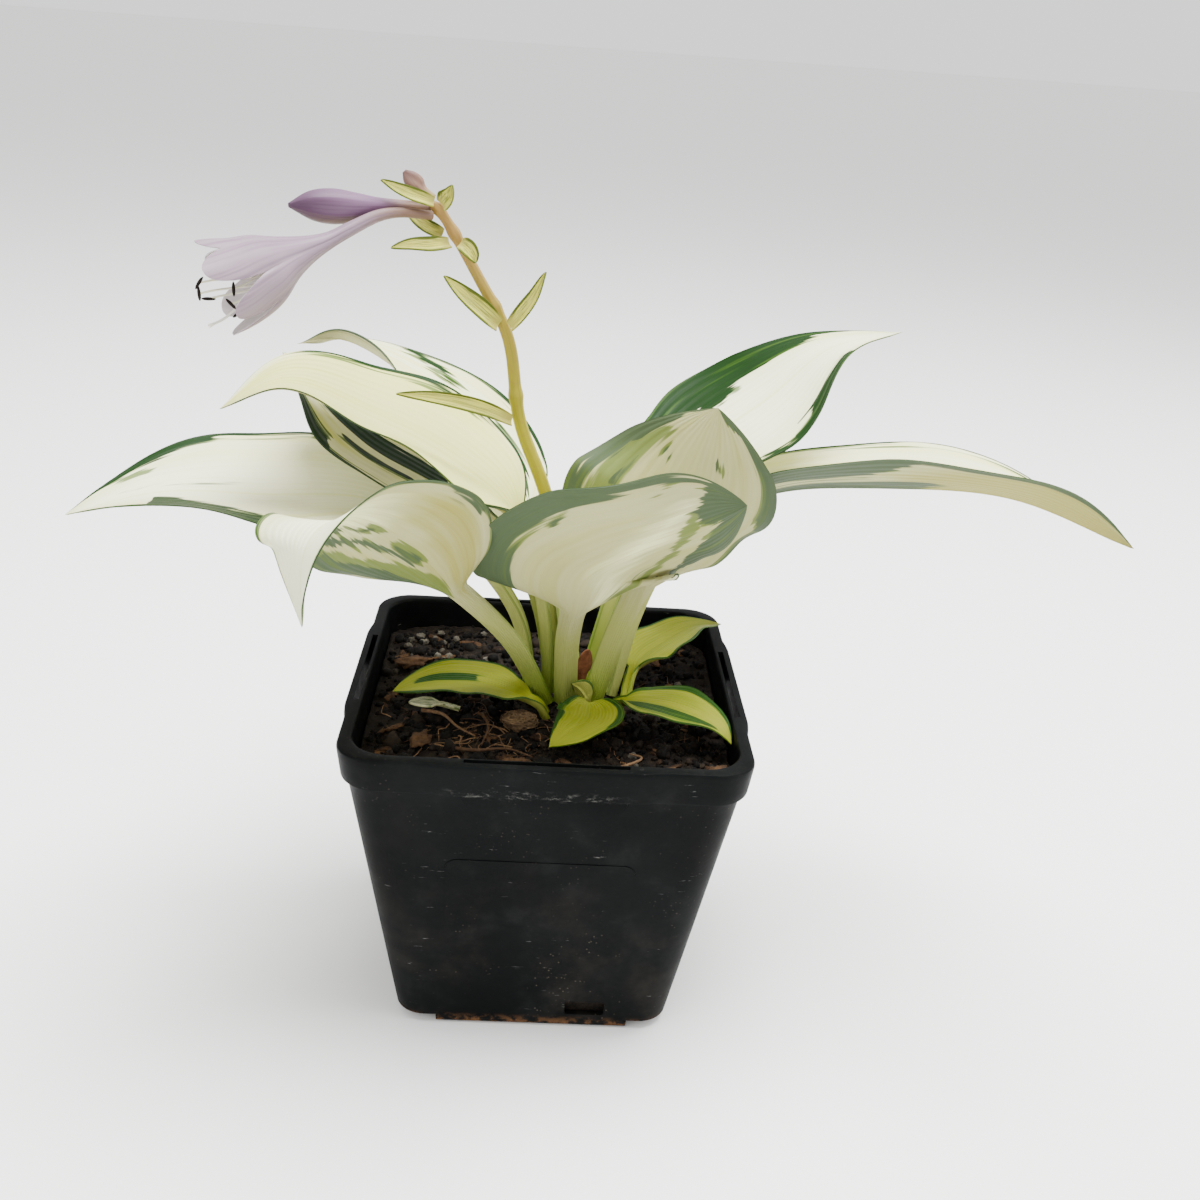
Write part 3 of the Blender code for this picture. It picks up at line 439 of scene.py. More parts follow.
# Six petals part at notches. Round NEAR_TURN, an angle about the axis, the notches are deeper and the
# petals shorter.
LOBES = 6
LOBE_DEPTH = 0.2
NEAR_TURN = 55.0
NOTCH_LEAST = 0.5
NOTCH_MORE = 0.6
NOTCH_POWER = 2.4
NEAR_SHORTER = 0.075
FAR_SHORTER = 0.07

# The closed flower bud and the young bud at the very top.
BUD_PATH = [
    (-35.3, -0.6, 215), (-41, -3, 215.2), (-47, -6.4, 215.2), (-52, -9, 215.2), (-57, -11, 215.4),
    (-62, -12.8, 215.5), (-66.8, -14.4, 215.2),
]
BUD_RADII = [1.1, 1.5, 2.2, 3.4, 4.1, 3.3, 0.5]
YOUNG_BUD_PATH = [
    (-34.4, -0.8, 217.2), (-37.4, -0.8, 218.8), (-39, -0.8, 220.3), (-40.4, -0.8, 221.9),
    (-41.6, -0.8, 223.2),
]
YOUNG_BUD_RADII = [1.0, 1.5, 2.1, 1.7, 0.5]

# Each stamen: the angle where it leaves the wall, how far it reaches, and where its end lies off the
# flower's axis, downwards and towards the front. Then how its anther leans, ahead and downwards.
STAMENS = [
    (-62, 0.97, -2.4, 0.6, 0.7, 0.6), (-30, 0.98, -0.2, 0.4, 0.2, 1.0), (0, 0.94, 1.8, -2.6, 0.9, -0.3),
    (62, 0.9, 3.6, 4.0, -0.45, 0.9), (32, 0.88, 6.2, 2.4, 1.0, 0.25), (94, 0.88, 0.6, 5.4, 0.3, 0.9),
]
STYLE = (-94, 0.97, 7.4, -1.2)
STAMEN_START = 0.62
STAMEN_RADIUS = 0.35
ANTHER_LENGTH = 3.3
ANTHER_RADIUS = 0.40

# Loose pieces that stand for CAD pieces on the soil: x, y, length, width, height and turn.
PERLITE = [
    (-39, 37, 2.7, 2.2, 1.7, 20), (-33, 40, 2.2, 1.9, 1.5, 60), (-28, 36, 2.6, 2.0, 1.6, 110),
    (-42, 30, 2.8, 2.1, 1.4, 150), (-20, 41, 2.1, 1.7, 1.4, 35), (38, 12, 2.3, 1.9, 1.5, 75),
]
BARK = [
    (-40, 18, 9, 5, 2.4, 25), (-33, -28, 8, 4.5, 2.2, 80), (-8, -38, 7, 4, 2.0, 15),
    (40, -3, 7.5, 4.5, 2.6, 120), (31, -41, 8.5, 4.5, 2.6, 10), (44, -40.5, 6.4, 4.6, 3.4, 60),
]
CLUMP = (-7.5, -17, 10, 8, 4.5, 30)
ROOTS = {
    "root_1": [(-34, -12, 2.2), (-28, -16, 3.4), (-24, -21, 2.6), (-19, -24, 1.6)],
    "root_2": [(-17, -12.5, 2.2), (-17.5, -17, 4.4), (-15.5, -22, 3.8), (-17, -29, 1.6)],
    "root_3": [(-25, -31, 1.6), (-18, -33.5, 2.6), (-10, -31.5, 2.4), (-3.5, -34, 1.6)],
    "root_4": [(14, -40, 1.6), (20, -38, 2.4), (25, -34, 2.8), (22, -30, 1.6)],
}

# Colours. Grains: dark, light, the noise's scale, roughness and depth of the bumps.
GRAINS = {
    "peat": ((0.0010, 0.0007, 0.0005), (0.026, 0.017, 0.010), 420.0, 0.92, 0.0005),
    "perlite_grain": ((0.02, 0.016, 0.012), (0.13, 0.118, 0.095), 700.0, 0.92, 0.0005),
    "bark_chip": ((0.010, 0.005, 0.0025), (0.10, 0.050, 0.022), 500.0, 0.92, 0.0005),
    "root_fibre": ((0.05, 0.026, 0.013), (0.22, 0.13, 0.068), 900.0, 0.85, 0.0005),
    "clump_fibre": ((0.035, 0.019, 0.009), (0.17, 0.11, 0.055), 900.0, 0.85, 0.0005),
    "dry_husk": ((0.07, 0.022, 0.010), (0.30, 0.11, 0.05), 700.0, 0.8, 0.0003),
    "anther_skin": ((0.008, 0.005, 0.004), (0.045, 0.028, 0.018), 1800.0, 0.8, 0.0001),
}
# Stems: at the foot, at the top, and the fine lines.
STEMS = {
    "crown_skin": ((0.42, 0.45, 0.12), (0.30, 0.25, 0.10), (0.24, 0.16, 0.08)),
    "scape_skin": ((0.30, 0.265, 0.014), (0.27, 0.155, 0.040), (0.19, 0.180, 0.012)),
    "filament_skin": ((0.78, 0.74, 0.62), (0.72, 0.70, 0.50), (0.70, 0.64, 0.60)),
    "style_skin": ((0.82, 0.79, 0.74), (0.80, 0.78, 0.66), (0.72, 0.66, 0.66)),
}
# Petals: the tube, the body, the tip, the veins, and how much light passes through.
PETALS = {
    "petal_open": (
        (0.175, 0.100, 0.058), (0.245, 0.175, 0.225), (0.30, 0.23, 0.275), (0.135, 0.080, 0.125), 0.16,
    ),
    "petal_bud": (
        (0.24, 0.15, 0.10), (0.150, 0.080, 0.145), (0.075, 0.035, 0.070), (0.070, 0.030, 0.068), 0.06,
    ),
    "petal_young": ((0.28, 0.21, 0.08), (0.20, 0.11, 0.075), (0.12, 0.06, 0.05), (0.10, 0.05, 0.04), 0.06),
}
PETAL_INSIDE = (0.66, 0.61, 0.60)

# Lights, in metres: name, place, size and energy. All face the middle of the plant.
LIGHTS = [
    ("overhead", (0.10, 0.05, 1.1), 0.8, 42),
    ("front_fill", (-0.6, -0.9, 0.7), 0.8, 4),
    ("right_rim", (0.9, 0.3, 0.6), 0.6, 5),
]
LIGHT_AIM = (0, 0, 0.1)
SURROUND = 1.35
FLOOR_REACH = 40.0
FLOOR_PAINT = (0.92, 0.92, 0.91, 1)

rng = np.random.default_rng(SEED)


# --- Shapes -------------------------------------------------------------------------------------


def ease(low, high, value):
    t = np.clip((value - low) / (high - low), 0, 1)
    return t * t * (3 - 2 * t)


def curve_rows(points, fractions):
    """Rows at these fractions of the length of a smooth curve through the points, and that length."""
    rows = np.array(points, float)
    rows = np.vstack([2 * rows[0] - rows[1], rows, 2 * rows[-1] - rows[-2]])
    steps = np.linalg.norm(np.diff(rows[:, :3], axis=0), axis=1) ** 0.5
    knots = np.concatenate([[0], np.cumsum(steps)])
    dense = []
    for i in range(1, len(rows) - 2):
        k0, k1, k2, k3 = knots[i - 1 : i + 3]
        for t in np.linspace(k1, k2, 24, endpoint=i == len(rows) - 3):
            a1 = (k1 - t) / (k1 - k0) * rows[i - 1] + (t - k0) / (k1 - k0) * rows[i]
            a2 = (k2 - t) / (k2 - k1) * rows[i] + (t - k1) / (k2 - k1) * rows[i + 1]
            a3 = (k3 - t) / (k3 - k2) * rows[i + 1] + (t - k2) / (k3 - k2) * rows[i + 2]
            b1 = (k2 - t) / (k2 - k0) * a1 + (t - k0) / (k2 - k0) * a2
            b2 = (k3 - t) / (k3 - k1) * a2 + (t - k1) / (k3 - k1) * a3
            dense.append((k2 - t) / (k2 - k1) * b1 + (t - k1) / (k2 - k1) * b2)
    dense = np.array(dense)
    run = np.concatenate([[0], np.cumsum(np.linalg.norm(np.diff(dense[:, :3], axis=0), axis=1))])
    at = np.asarray(fractions) * run[-1]
    columns = [np.interp(at, run, dense[:, k]) for k in range(rows.shape[1])]
    return np.stack(columns, 1), run[-1]


def fraction_of(path, index):
    """How far along the curve through the path this point of it lies."""
    rows, _ = curve_rows(path, np.linspace(0, 1, 400))
    away = np.linalg.norm(rows[:, :3] - np.array(path[index][:3], float), axis=1)
    return away.argmin() / 399


def smoothed(rows, passes):
    """The rows with small kinks between their points evened out, and both ends kept."""
    rows = rows.copy()
    for _ in range(passes):
        rows[1:-1] = (rows[:-2] + 2 * rows[1:-1] + rows[2:]) / 4
    return rows


def frames_along(middle, roll, heading, fractions, length):
    """The sideways and the upper-side direction at each row of a midrib."""
    tangent = np.gradient(middle, fractions * length, axis=0)
    tangent /= np.linalg.norm(tangent, axis=1)[:, None]
    turn = math.radians(heading)
    level = np.array([math.sin(turn), -math.cos(turn), 0.0])
    side = level - (tangent @ level)[:, None] * tangent
    side /= np.linalg.norm(side, axis=1)[:, None]
    upper = np.cross(side, tangent)
    c = np.cos(roll)[:, None]
    s = np.sin(roll)[:, None]
    return side * c - upper * s, upper * c + side * s


def outline(t, rise, fall):
    """The half-width of a blade from its foot to its tip, at most 1."""
    peak = rise / (rise + fall)
    return (t / peak) ** rise * ((1 - t) / (1 - peak)) ** fall


def leaf_sheet(leaf, petiole_rows, blade_rows, across):
    """The leaf's middle surface, rows by points across, with the place along the blade of each row."""
    path = leaf["path"]
    foot = fraction_of(path, FOOT_INDEX)
    stalk = np.linspace(0, foot, petiole_rows, endpoint=False)
    blade = foot + (1 - foot) * np.linspace(0, 1, blade_rows) ** 1.15
    at = np.concatenate([stalk, blade])
    rows, length = curve_rows(path, at)
    rows = smoothed(rows, 6)
    side, upper = frames_along(rows[:, :3], np.radians(rows[:, 3]), leaf["heading"], at, length)
    t = (at - foot) / (1 - foot)
    inside = np.clip(t, 0, 1)
    stalk_half = leaf["petiole"] / 2 * (1 - ease(0, 0.9, inside))
    blade_half = leaf["width"] / 2 * outline(inside, *leaf["shape"])
    half = np.sqrt(stalk_half**2 + blade_half**2) + 0.25 * (1 - ease(0.9, 1, inside))
    open_up = ease(-0.10, 0.16, t)
    points = np.zeros((len(at), len(across), 3))
    for j, v in enumerate(across):
        near, far = leaf["cup"][:2] if v < 0 else leaf["cup"][2:]
        near = np.radians(15 * (1 - open_up) + near * open_up)
        far = np.radians(85 * (1 - open_up) + far * open_up)
        steps = (np.arange(16) + 0.5) / 16 * abs(v)
        angle = near[:, None] + (far - near)[:, None] * steps[None]
        out = np.cos(angle).mean(1) * abs(v) * half * np.sign(v)
        rise = np.sin(angle).mean(1) * abs(v) * half
        points[:, j] = rows[:, :3] + side * out[:, None] + upper * rise[:, None]
    return points, t, half


def grid_normals(points):
    """The upper-side direction at every point of a sheet."""
    along = np.gradient(points, axis=0)
    sideways = np.gradient(points, axis=1)
    normals = np.cross(sideways, along)
    length = np.linalg.norm(normals, axis=2, keepdims=True)
    return normals / np.maximum(length, 1e-9)


def add_mesh(name, points, faces, sharp=None):
    """A mesh object from points in millimetres."""
    mesh = bpy.data.meshes.new(name)
    mesh.from_pydata((np.asarray(points) * MM).tolist(), [], faces)
    mesh.validate()
    mesh.shade_smooth()
    if sharp is not None:
        mesh.set_sharp_from_angle(angle=math.radians(sharp))
    made = bpy.data.objects.new(name, mesh)
    bpy.context.scene.collection.objects.link(made)
    return made


def put_attribute(made, name, values):
    """Three numbers for each point, for the materials to read."""
    layer = made.data.attributes.new(name, "FLOAT_VECTOR", "POINT")
    layer.data.foreach_set("vector", np.ascontiguousarray(values, np.float32).ravel())


def grid_faces(rows, columns, start, turned=False, closed=False):
    """Quads over a grid of points whose numbers begin at start."""
    faces = []
    last = columns if closed else columns - 1
    for i in range(rows - 1):
        for j in range(last):
            k = (j + 1) % columns
            a = start + i * columns + j
            b = start + i * columns + k
            c = b + columns
            d = a + columns
            faces.append((a, d, c, b) if turned else (a, b, c, d))
    return faces


def places_on(v, t, third):
    """Three numbers for each point of a sheet: where it lies across, where along, and the third."""
    place = np.zeros((len(t), len(v), 3))
    place[..., 0] = v[None, :]
    place[..., 1] = t[:, None]
    place[..., 2] = third
    return place


def add_sheet(name, points, thickness, place, tint):
    """A closed sheet from its middle surface. Place and tint are stored on both of its sides."""
    rows, columns = points.shape[:2]
    normals = grid_normals(points)
    top = points + normals * thickness[..., None] * 0.5
    bottom = points - normals * thickness[..., None] * 0.5
    count = rows * columns
    faces = grid_faces(rows, columns, 0) + grid_faces(rows, columns, count, turned=True)
    for i in range(rows - 1):
        for j, flip in ((0, False), (columns - 1, True)):
            a = i * columns + j
            b = a + columns
            quad = (a, b, b + count, a + count)
            faces.append(quad[::-1] if flip else quad)
    for j in range(columns - 1):
        for i, flip in ((0, True), (rows - 1, False)):
            a = i * columns + j
            b = a + 1
            quad = (a, b, b + count, a + count)
            faces.append(quad if flip else quad[::-1])
    made = add_mesh(name, np.vstack([top.reshape(-1, 3), bottom.reshape(-1, 3)]), faces, SHEET_SHARP)
    flat_place = place.reshape(-1, 3)
    put_attribute(made, "place", np.vstack([flat_place, flat_place]))
    upper = tint.reshape(-1, 3).copy()
    # The underside copy gets a 1 in the third tint number, and the leaf material paints it greyer and
    # darker with painted shade.
    under = upper.copy()
    upper[:, 2] = 0
    under[:, 2] = 1
    put_attribute(made, "tint", np.vstack([upper, under]))
    return made


def ring_frames(path, fractions, passes=4):
    """Points along a curve, and two directions square to it at each."""
    rows, length = curve_rows(path, fractions)
    rows = smoothed(rows, passes)
    tangent = np.gradient(rows, np.asarray(fractions) * length, axis=0)
    tangent /= np.linalg.norm(tangent, axis=1)[:, None]
    first = np.cross(tangent, [0.0, 1.0, 0.0])
    first /= np.linalg.norm(first, axis=1)[:, None]
    second = np.cross(tangent, first)
    return rows, first, second


def radii_along(path, radii, fractions):
    rows, _ = curve_rows([(*point, radius) for point, radius in zip(path, radii)], fractions)
    return rows[:, 3]


def tube(path, radii_at, sides, steps, ridge=None):
    """Points, faces and places of a closed round stem. Ridge shapes its cross-section."""
    at = np.linspace(0, 1, steps)
    rows, first, second = ring_frames(path, at)
    size = radii_at(at)
    turns = np.arange(sides) / sides * 2 * math.pi
    shape = np.ones((steps, sides)) if ridge is None else ridge(at[:, None], turns[None])
    cosine, sine = np.cos(turns)[None, :, None], np.sin(turns)[None, :, None]
    direction = first[:, None] * cosine + second[:, None] * sine
    points = rows[:, None] + direction * (size[:, None] * shape)[..., None]
    faces = grid_faces(steps, sides, 0, turned=True, closed=True)
    faces.append(tuple(range(sides)))
    faces.append(tuple(range(sides * steps - 1, sides * (steps - 1) - 1, -1)))
    place = np.zeros((steps, sides, 3))
    place[..., 0] = turns[None] / (2 * math.pi)
    place[..., 1] = at[:, None]
    return points.reshape(-1, 3), faces, place.reshape(-1, 3)


def add_tube(name, path, radii_at, sides, steps, ridge=None):
    points, faces, place = tube(path, radii_at, sides, steps, ridge)
    made = add_mesh(name, points, faces)
    put_attribute(made, "place", place)
    return made


def join_shapes(name, shapes):
    """One object from many shapes. Each is its points, its faces and one tone."""
    points = []
    faces = []
    tones = []
    start = 0
    for shape, shape_faces, tone in shapes:
        points.append(shape)
        faces += [[i + start for i in face] for face in shape_faces]
        tones.append(np.tile([tone, 0, 0], (len(shape), 1)))
        start += len(shape)
    made = add_mesh(name, np.vstack(points), faces)
    put_attribute(made, "tone", np.vstack(tones))
    return made


def settle(made, slot, material, *nodes):
    """Gives a piece its material and its place in the frame."""
    made.data.materials.clear()
    made.data.materials.append(material)
    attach(made, "root")
    if nodes:
        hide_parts(*nodes)
    return made


# --- Materials ----------------------------------------------------------------------------------


class Shader:
    """A material, with short ways to add nodes to it."""

    def __init__(self, name):
        self.material = bpy.data.materials.new(name)
        self.material.use_nodes = True
        self.tree = self.material.node_tree
        self.surface = self.tree.nodes["Principled BSDF"]
        self.output = self.tree.nodes["Material Output"]

    def put(self, socket, value):
        if isinstance(value, bpy.types.NodeSocket):
            self.tree.links.new(value, socket)
        elif value is not None:
            socket.default_value = value

    def attribute(self, name):
        """The three numbers stored under this name."""
        node = self.tree.nodes.new("ShaderNodeAttribute")
        node.attribute_name = name
        return self.split(node.outputs["Vector"])

    def split(self, vector):
        node = self.tree.nodes.new("ShaderNodeSeparateXYZ")
        self.put(node.inputs[0], vector)
        return node.outputs[0], node.outputs[1], node.outputs[2]

    def join(self, x, y, z):
        node = self.tree.nodes.new("ShaderNodeCombineXYZ")
        for socket, value in zip(node.inputs, (x, y, z)):
            self.put(socket, value)
        return node.outputs[0]

    def position(self):
        return self.tree.nodes.new("ShaderNodeTexCoord").outputs["Object"]

    def calc(self, operation, a, b=None):
        node = self.tree.nodes.new("ShaderNodeMath")
        node.operation = operation
        for socket, value in zip(node.inputs, (a, b)):
            self.put(socket, value)
        return node.outputs[0]

    def shine(self, level):
        self.surface.inputs["Specular IOR Level"].default_value = level

    def plus(self, a, b):
        return self.calc("ADD", a, b)

    def times(self, a, b):
        return self.calc("MULTIPLY", a, b)

    def noise(self, vector, scale, detail=2.0, roughness=0.5):
        node = self.tree.nodes.new("ShaderNodeTexNoise")
        self.put(node.inputs["Vector"], vector)
        node.inputs["Scale"].default_value = scale
        node.inputs["Detail"].default_value = detail
        node.inputs["Roughness"].default_value = roughness
        return node.outputs["Fac"]

    def cells(self, vector, scale):
        node = self.tree.nodes.new("ShaderNodeTexVoronoi")
        self.put(node.inputs["Vector"], vector)
        node.inputs["Scale"].default_value = scale
        return node.outputs["Distance"]

    def step(self, value, low, high):
        """Rises smoothly from 0 at low to 1 at high."""
        node = self.tree.nodes.new("ShaderNodeMapRange")
        node.interpolation_type = "SMOOTHSTEP"
        self.put(node.inputs["Value"], value)
        node.inputs["From Min"].default_value = low
        node.inputs["From Max"].default_value = high
        return node.outputs["Result"]

    def span(self, value, low, high, to_low, to_high):
        node = self.tree.nodes.new("ShaderNodeMapRange")
        self.put(node.inputs["Value"], value)
        for socket, number in zip(list(node.inputs)[1:5], (low, high, to_low, to_high)):
            socket.default_value = number
        return node.outputs["Result"]

    def mix(self, share, a, b):
        """Colour a, turning to b as the share rises."""
        node = self.tree.nodes.new("ShaderNodeMix")
        node.data_type = "RGBA"
        self.put(node.inputs[0], share)
        for socket, value in ((node.inputs[6], a), (node.inputs[7], b)):
            if isinstance(value, tuple):
                value = (*value, 1)
            self.put(socket, value)
        return node.outputs[2]

    def streaks(self, v, t, seed, across, along):
        """Noise drawn out along the veins."""
        place = self.join(self.times(v, across), self.times(t, along), seed)
        return self.noise(place, 1.0)

    def finish(self, colour, roughness=None, height=None, depth=0.0002, strength=0.5, glow=0.0):
        """Joins colour, roughness and relief to the surface, with a share of light let through."""
        self.put(self.surface.inputs["Base Color"], colour)
        self.put(self.surface.inputs["Roughness"], roughness)
        normal = None
        if height is not None:
            bump = self.tree.nodes.new("ShaderNodeBump")
            bump.inputs["Strength"].default_value = strength
            bump.inputs["Distance"].default_value = depth
            self.put(bump.inputs["Height"], height)
            normal = bump.outputs["Normal"]
            self.put(self.surface.inputs["Normal"], normal)
        if glow:
            through = self.tree.nodes.new("ShaderNodeBsdfTranslucent")
            self.put(through.inputs["Color"], colour)
            if normal is not None:
                self.put(through.inputs["Normal"], normal)
            blend = self.tree.nodes.new("ShaderNodeMixShader")
            blend.inputs[0].default_value = glow
            self.tree.links.new(self.surface.outputs[0], blend.inputs[1])
            self.tree.links.new(through.outputs[0], blend.inputs[2])
            self.tree.links.new(blend.outputs[0], self.output.inputs["Surface"])
        return self.material


# Colours of the leaves by tone, for the big leaves, the low leaves and the bracts. "Under" is the
# underside, greyer than the upper side and darker still as painted shade, and flush is the tint in
# streaks over the pale middle.
LEAF_KINDS = ("big", "low", "bract")
LEAF_TONES = {
    "pale": ((0.9, 0.9, 0.6), (0.27, 0.29, 0.02), (0.74, 0.71, 0.09)),
    "flush": ((0.82, 0.83, 0.36), (0.21, 0.245, 0.012), (0.62, 0.59, 0.06)),
    "fresh": ((0.06, 0.135, 0.01), (0.085, 0.155, 0.007), (0.22, 0.24, 0.03)),
    "dark": ((0.006, 0.03, 0.003), (0.014, 0.055, 0.003), (0.085, 0.11, 0.015)),
    "warm": ((0.72, 0.73, 0.17), (0.32, 0.31, 0.05), (0.5, 0.46, 0.12)),
    "light": ((0.93, 0.93, 0.7), (0.4, 0.42, 0.06), (0.62, 0.6, 0.22)),
    # The underside tones hold the underside's own greyer colour, darkened with painted shade.
    "pale_under": ((0.44, 0.43, 0.22), (0.35, 0.36, 0.07), (0.52, 0.49, 0.12)),
    "flush_under": ((0.4, 0.39, 0.155), (0.3, 0.32, 0.05), (0.44, 0.42, 0.08)),
    "fresh_under": ((0.115, 0.165, 0.026), (0.14, 0.2, 0.025), (0.24, 0.26, 0.05)),
    "dark_under": ((0.07, 0.1, 0.05), (0.05, 0.1, 0.015), (0.1, 0.13, 0.025)),
    "warm_under": ((0.3, 0.265, 0.045), (0.31, 0.3, 0.06), (0.44, 0.4, 0.1)),
    "light_under": ((0.84, 0.85, 0.5), (0.4, 0.42, 0.1), (0.55, 0.52, 0.2)),
    "stalk": ((0.42, 0.44, 0.13), (0.27, 0.3, 0.03), (0.44, 0.4, 0.09)),
    "stalk_foot": ((0.22, 0.3, 0.025), (0.22, 0.28, 0.03), (0.4, 0.34, 0.08)),
}


def leaf_material(name, kind, glow):
    """A variegated leaf: pale middle, streaky green margin, sunken veins, and a greyer underside darkened
    with painted shade.
    """
    tones = {tone: colours[LEAF_KINDS.index(kind)] for tone, colours in LEAF_TONES.items()}
    s = Shader(name)
    v, t, seed = s.attribute("place")
    green, stalk, under = s.attribute("tint")
    wide = s.streaks(v, t, seed, 7.0, 2.0)
    fine = s.streaks(v, t, s.plus(seed, 3.0), 26.0, 3.4)
    hair = s.streaks(v, t, s.plus(seed, 7.0), 90.0, 5.0)
    patchy = s.streaks(v, t, s.plus(seed, 11.0), 12.0, 1.6)

    fresh_mark, warm_mark, light_mark = s.attribute("marks")

    ragged = s.plus(s.times(s.plus(wide, -0.5), 0.22), s.times(s.plus(fine, -0.5), 0.20))
    edge = s.plus(green, ragged)
    inner = s.plus(edge, s.times(s.plus(patchy, -0.47), 0.40))
    is_dark = s.step(edge, -0.010, 0.022)
    is_fresh = s.calc(
        "MAXIMUM", s.step(inner, -0.01, 0.03), s.step(s.plus(fresh_mark, ragged), -0.015, 0.03)
    )
    is_warm = s.step(s.plus(warm_mark, s.times(s.plus(wide, -0.5), 0.5)), -0.15, 0.20)
    is_light = s.step(s.plus(light_mark, s.times(s.plus(wide, -0.5), 0.6)), -0.20, 0.25)
    in_dark = s.step(patchy, 0.56, 0.66)

    ribs = s.calc("SINE", s.times(s.calc("POWER", s.calc("ABSOLUTE", v), 0.85), 2 * math.pi * 10))
    veins = s.times(s.step(ribs, 0.55, 0.95), s.step(fine, 0.30, 0.60))

    def side(pale, flush, fresh, dark, warm, light):
        body = s.mix(s.step(wide, 0.38, 0.75), tones[pale], tones[flush])
        body = s.mix(s.times(is_warm, 0.75), body, tones[warm])
        body = s.mix(s.times(is_light, 0.9), body, tones[light])
        body = s.mix(s.times(s.step(hair, 0.45, 0.75), 0.30), body, tones[flush])
        body = s.mix(s.times(veins, 0.22), body, tones[flush])
        margin = s.mix(s.times(in_dark, 0.45), tones[dark], tones[fresh])
        margin = s.mix(s.times(s.step(hair, 0.50, 0.8), 0.18), margin, tones[fresh])
        body = s.mix(s.times(is_fresh, 0.85), body, tones[fresh])
        return s.mix(is_dark, body, margin)

    above = side("pale", "flush", "fresh", "dark", "warm", "light")
    # The underside takes the under tones: greyer, and darker with painted shade.
    below = side("pale_under", "flush_under", "fresh_under", "dark_under", "warm_under", "light_under")
    colour = s.mix(under, above, below)
    rod = s.mix(s.step(stalk, 0.35, 1.0), tones["stalk"], tones["stalk_foot"])
    rod = s.mix(s.times(s.step(s.calc("ABSOLUTE", v), 0.80, 0.97), 0.55), rod, tones["fresh"])
    colour = s.mix(s.step(stalk, 0.0, 0.30), colour, rod)
    midrib = s.step(s.calc("ABSOLUTE", v), 0.035, 0.012)
    colour = s.mix(s.times(midrib, s.span(under, 0.0, 1.0, 0.45, 0.0)), colour, tones["flush"])

    relief = s.plus(s.times(ribs, 0.35), s.times(hair, 0.5))
    rough = s.plus(s.span(fine, 0.3, 0.7, 0.38, 0.50), s.times(under, 0.14))
    s.shine(0.11)
    return s.finish(colour, rough, relief, 0.00028, 0.55, glow)


def stem_material(name):
    """A stalk that changes colour along its length, with fine lines and faint blotches."""
    low, high, line = STEMS[name]
    s = Shader(name)
    turn, t, _ = s.attribute("place")
    body = s.mix(s.step(t, 0.55, 0.98), low, high)
    fine = s.noise(s.join(s.times(turn, 26.0), s.times(t, 9.0), 0.0), 1.0, 3.0)
    spots = s.noise(s.position(), 900.0, 3.0)
    body = s.mix(s.times(s.step(fine, 0.48, 0.66), 0.4), body, line)
    body = s.mix(s.times(s.step(spots, 0.56, 0.70), 0.35), body, high)
    s.shine(0.25)
    return s.finish(body, s.span(fine, 0.3, 0.7, 0.38, 0.52), fine, 0.00012, 0.5, 0.08)


def petal_material(name):
    """Petals: stained at the tube, with darker veins along them.

    The third place number is how near a point is to a gap between petals, plus 2 on the inner wall.
    """
    foot, body, tip, vein, glow = PETALS[name]
    s = Shader(name)
    turn, t, lobe = s.attribute("place")
    colour = s.mix(s.step(t, 0.10, 0.42), foot, body)
    colour = s.mix(s.step(t, 0.55, 0.98), colour, tip)
    lines = s.noise(s.join(s.times(turn, 46.0), s.times(t, 1.2), 0.0), 1.0, 2.0)
    soft = s.noise(s.join(s.times(turn, 9.0), s.times(t, 1.5), 4.0), 1.0, 2.0)
    colour = s.mix(s.times(s.step(lines, 0.46, 0.66), 0.45), colour, vein)
    colour = s.mix(s.times(s.step(soft, 0.45, 0.70), 0.35), colour, vein)
    inside = s.step(lobe, 1.2, 1.8)
    colour = s.mix(s.times(s.step(lobe, 0.75, 1.0), 0.35), colour, tip)
    colour = s.mix(s.times(inside, 0.75), colour, PETAL_INSIDE)
    s.shine(0.3)
    return s.finish(colour, s.span(soft, 0.3, 0.7, 0.42, 0.56), lines, 0.00018, 0.5, glow)


def grain_material(name):
    """Crumbly or fibrous matter. Each loose piece has its own tone."""
    dark, light, scale, rough, depth = GRAINS[name]
    s = Shader(name)
    tone, _, _ = s.attribute("tone")
    broad = s.noise(s.position(), scale, 5.0, 0.65)
    fine = s.noise(s.position(), scale * 5, 4.0, 0.7)
    share = s.plus(s.times(broad, 0.8), s.plus(s.times(tone, 0.55), -0.35))
    colour = s.mix(s.step(share, 0.05, 0.75), dark, light)
    colour = s.mix(s.times(s.step(fine, 0.52, 0.74), 0.35), colour, dark)
    height = s.plus(broad, s.times(fine, 0.5))
    s.shine(0.15)
    return s.finish(colour, s.span(fine, 0.3, 0.7, rough - 0.18, rough), height, depth, 0.8)


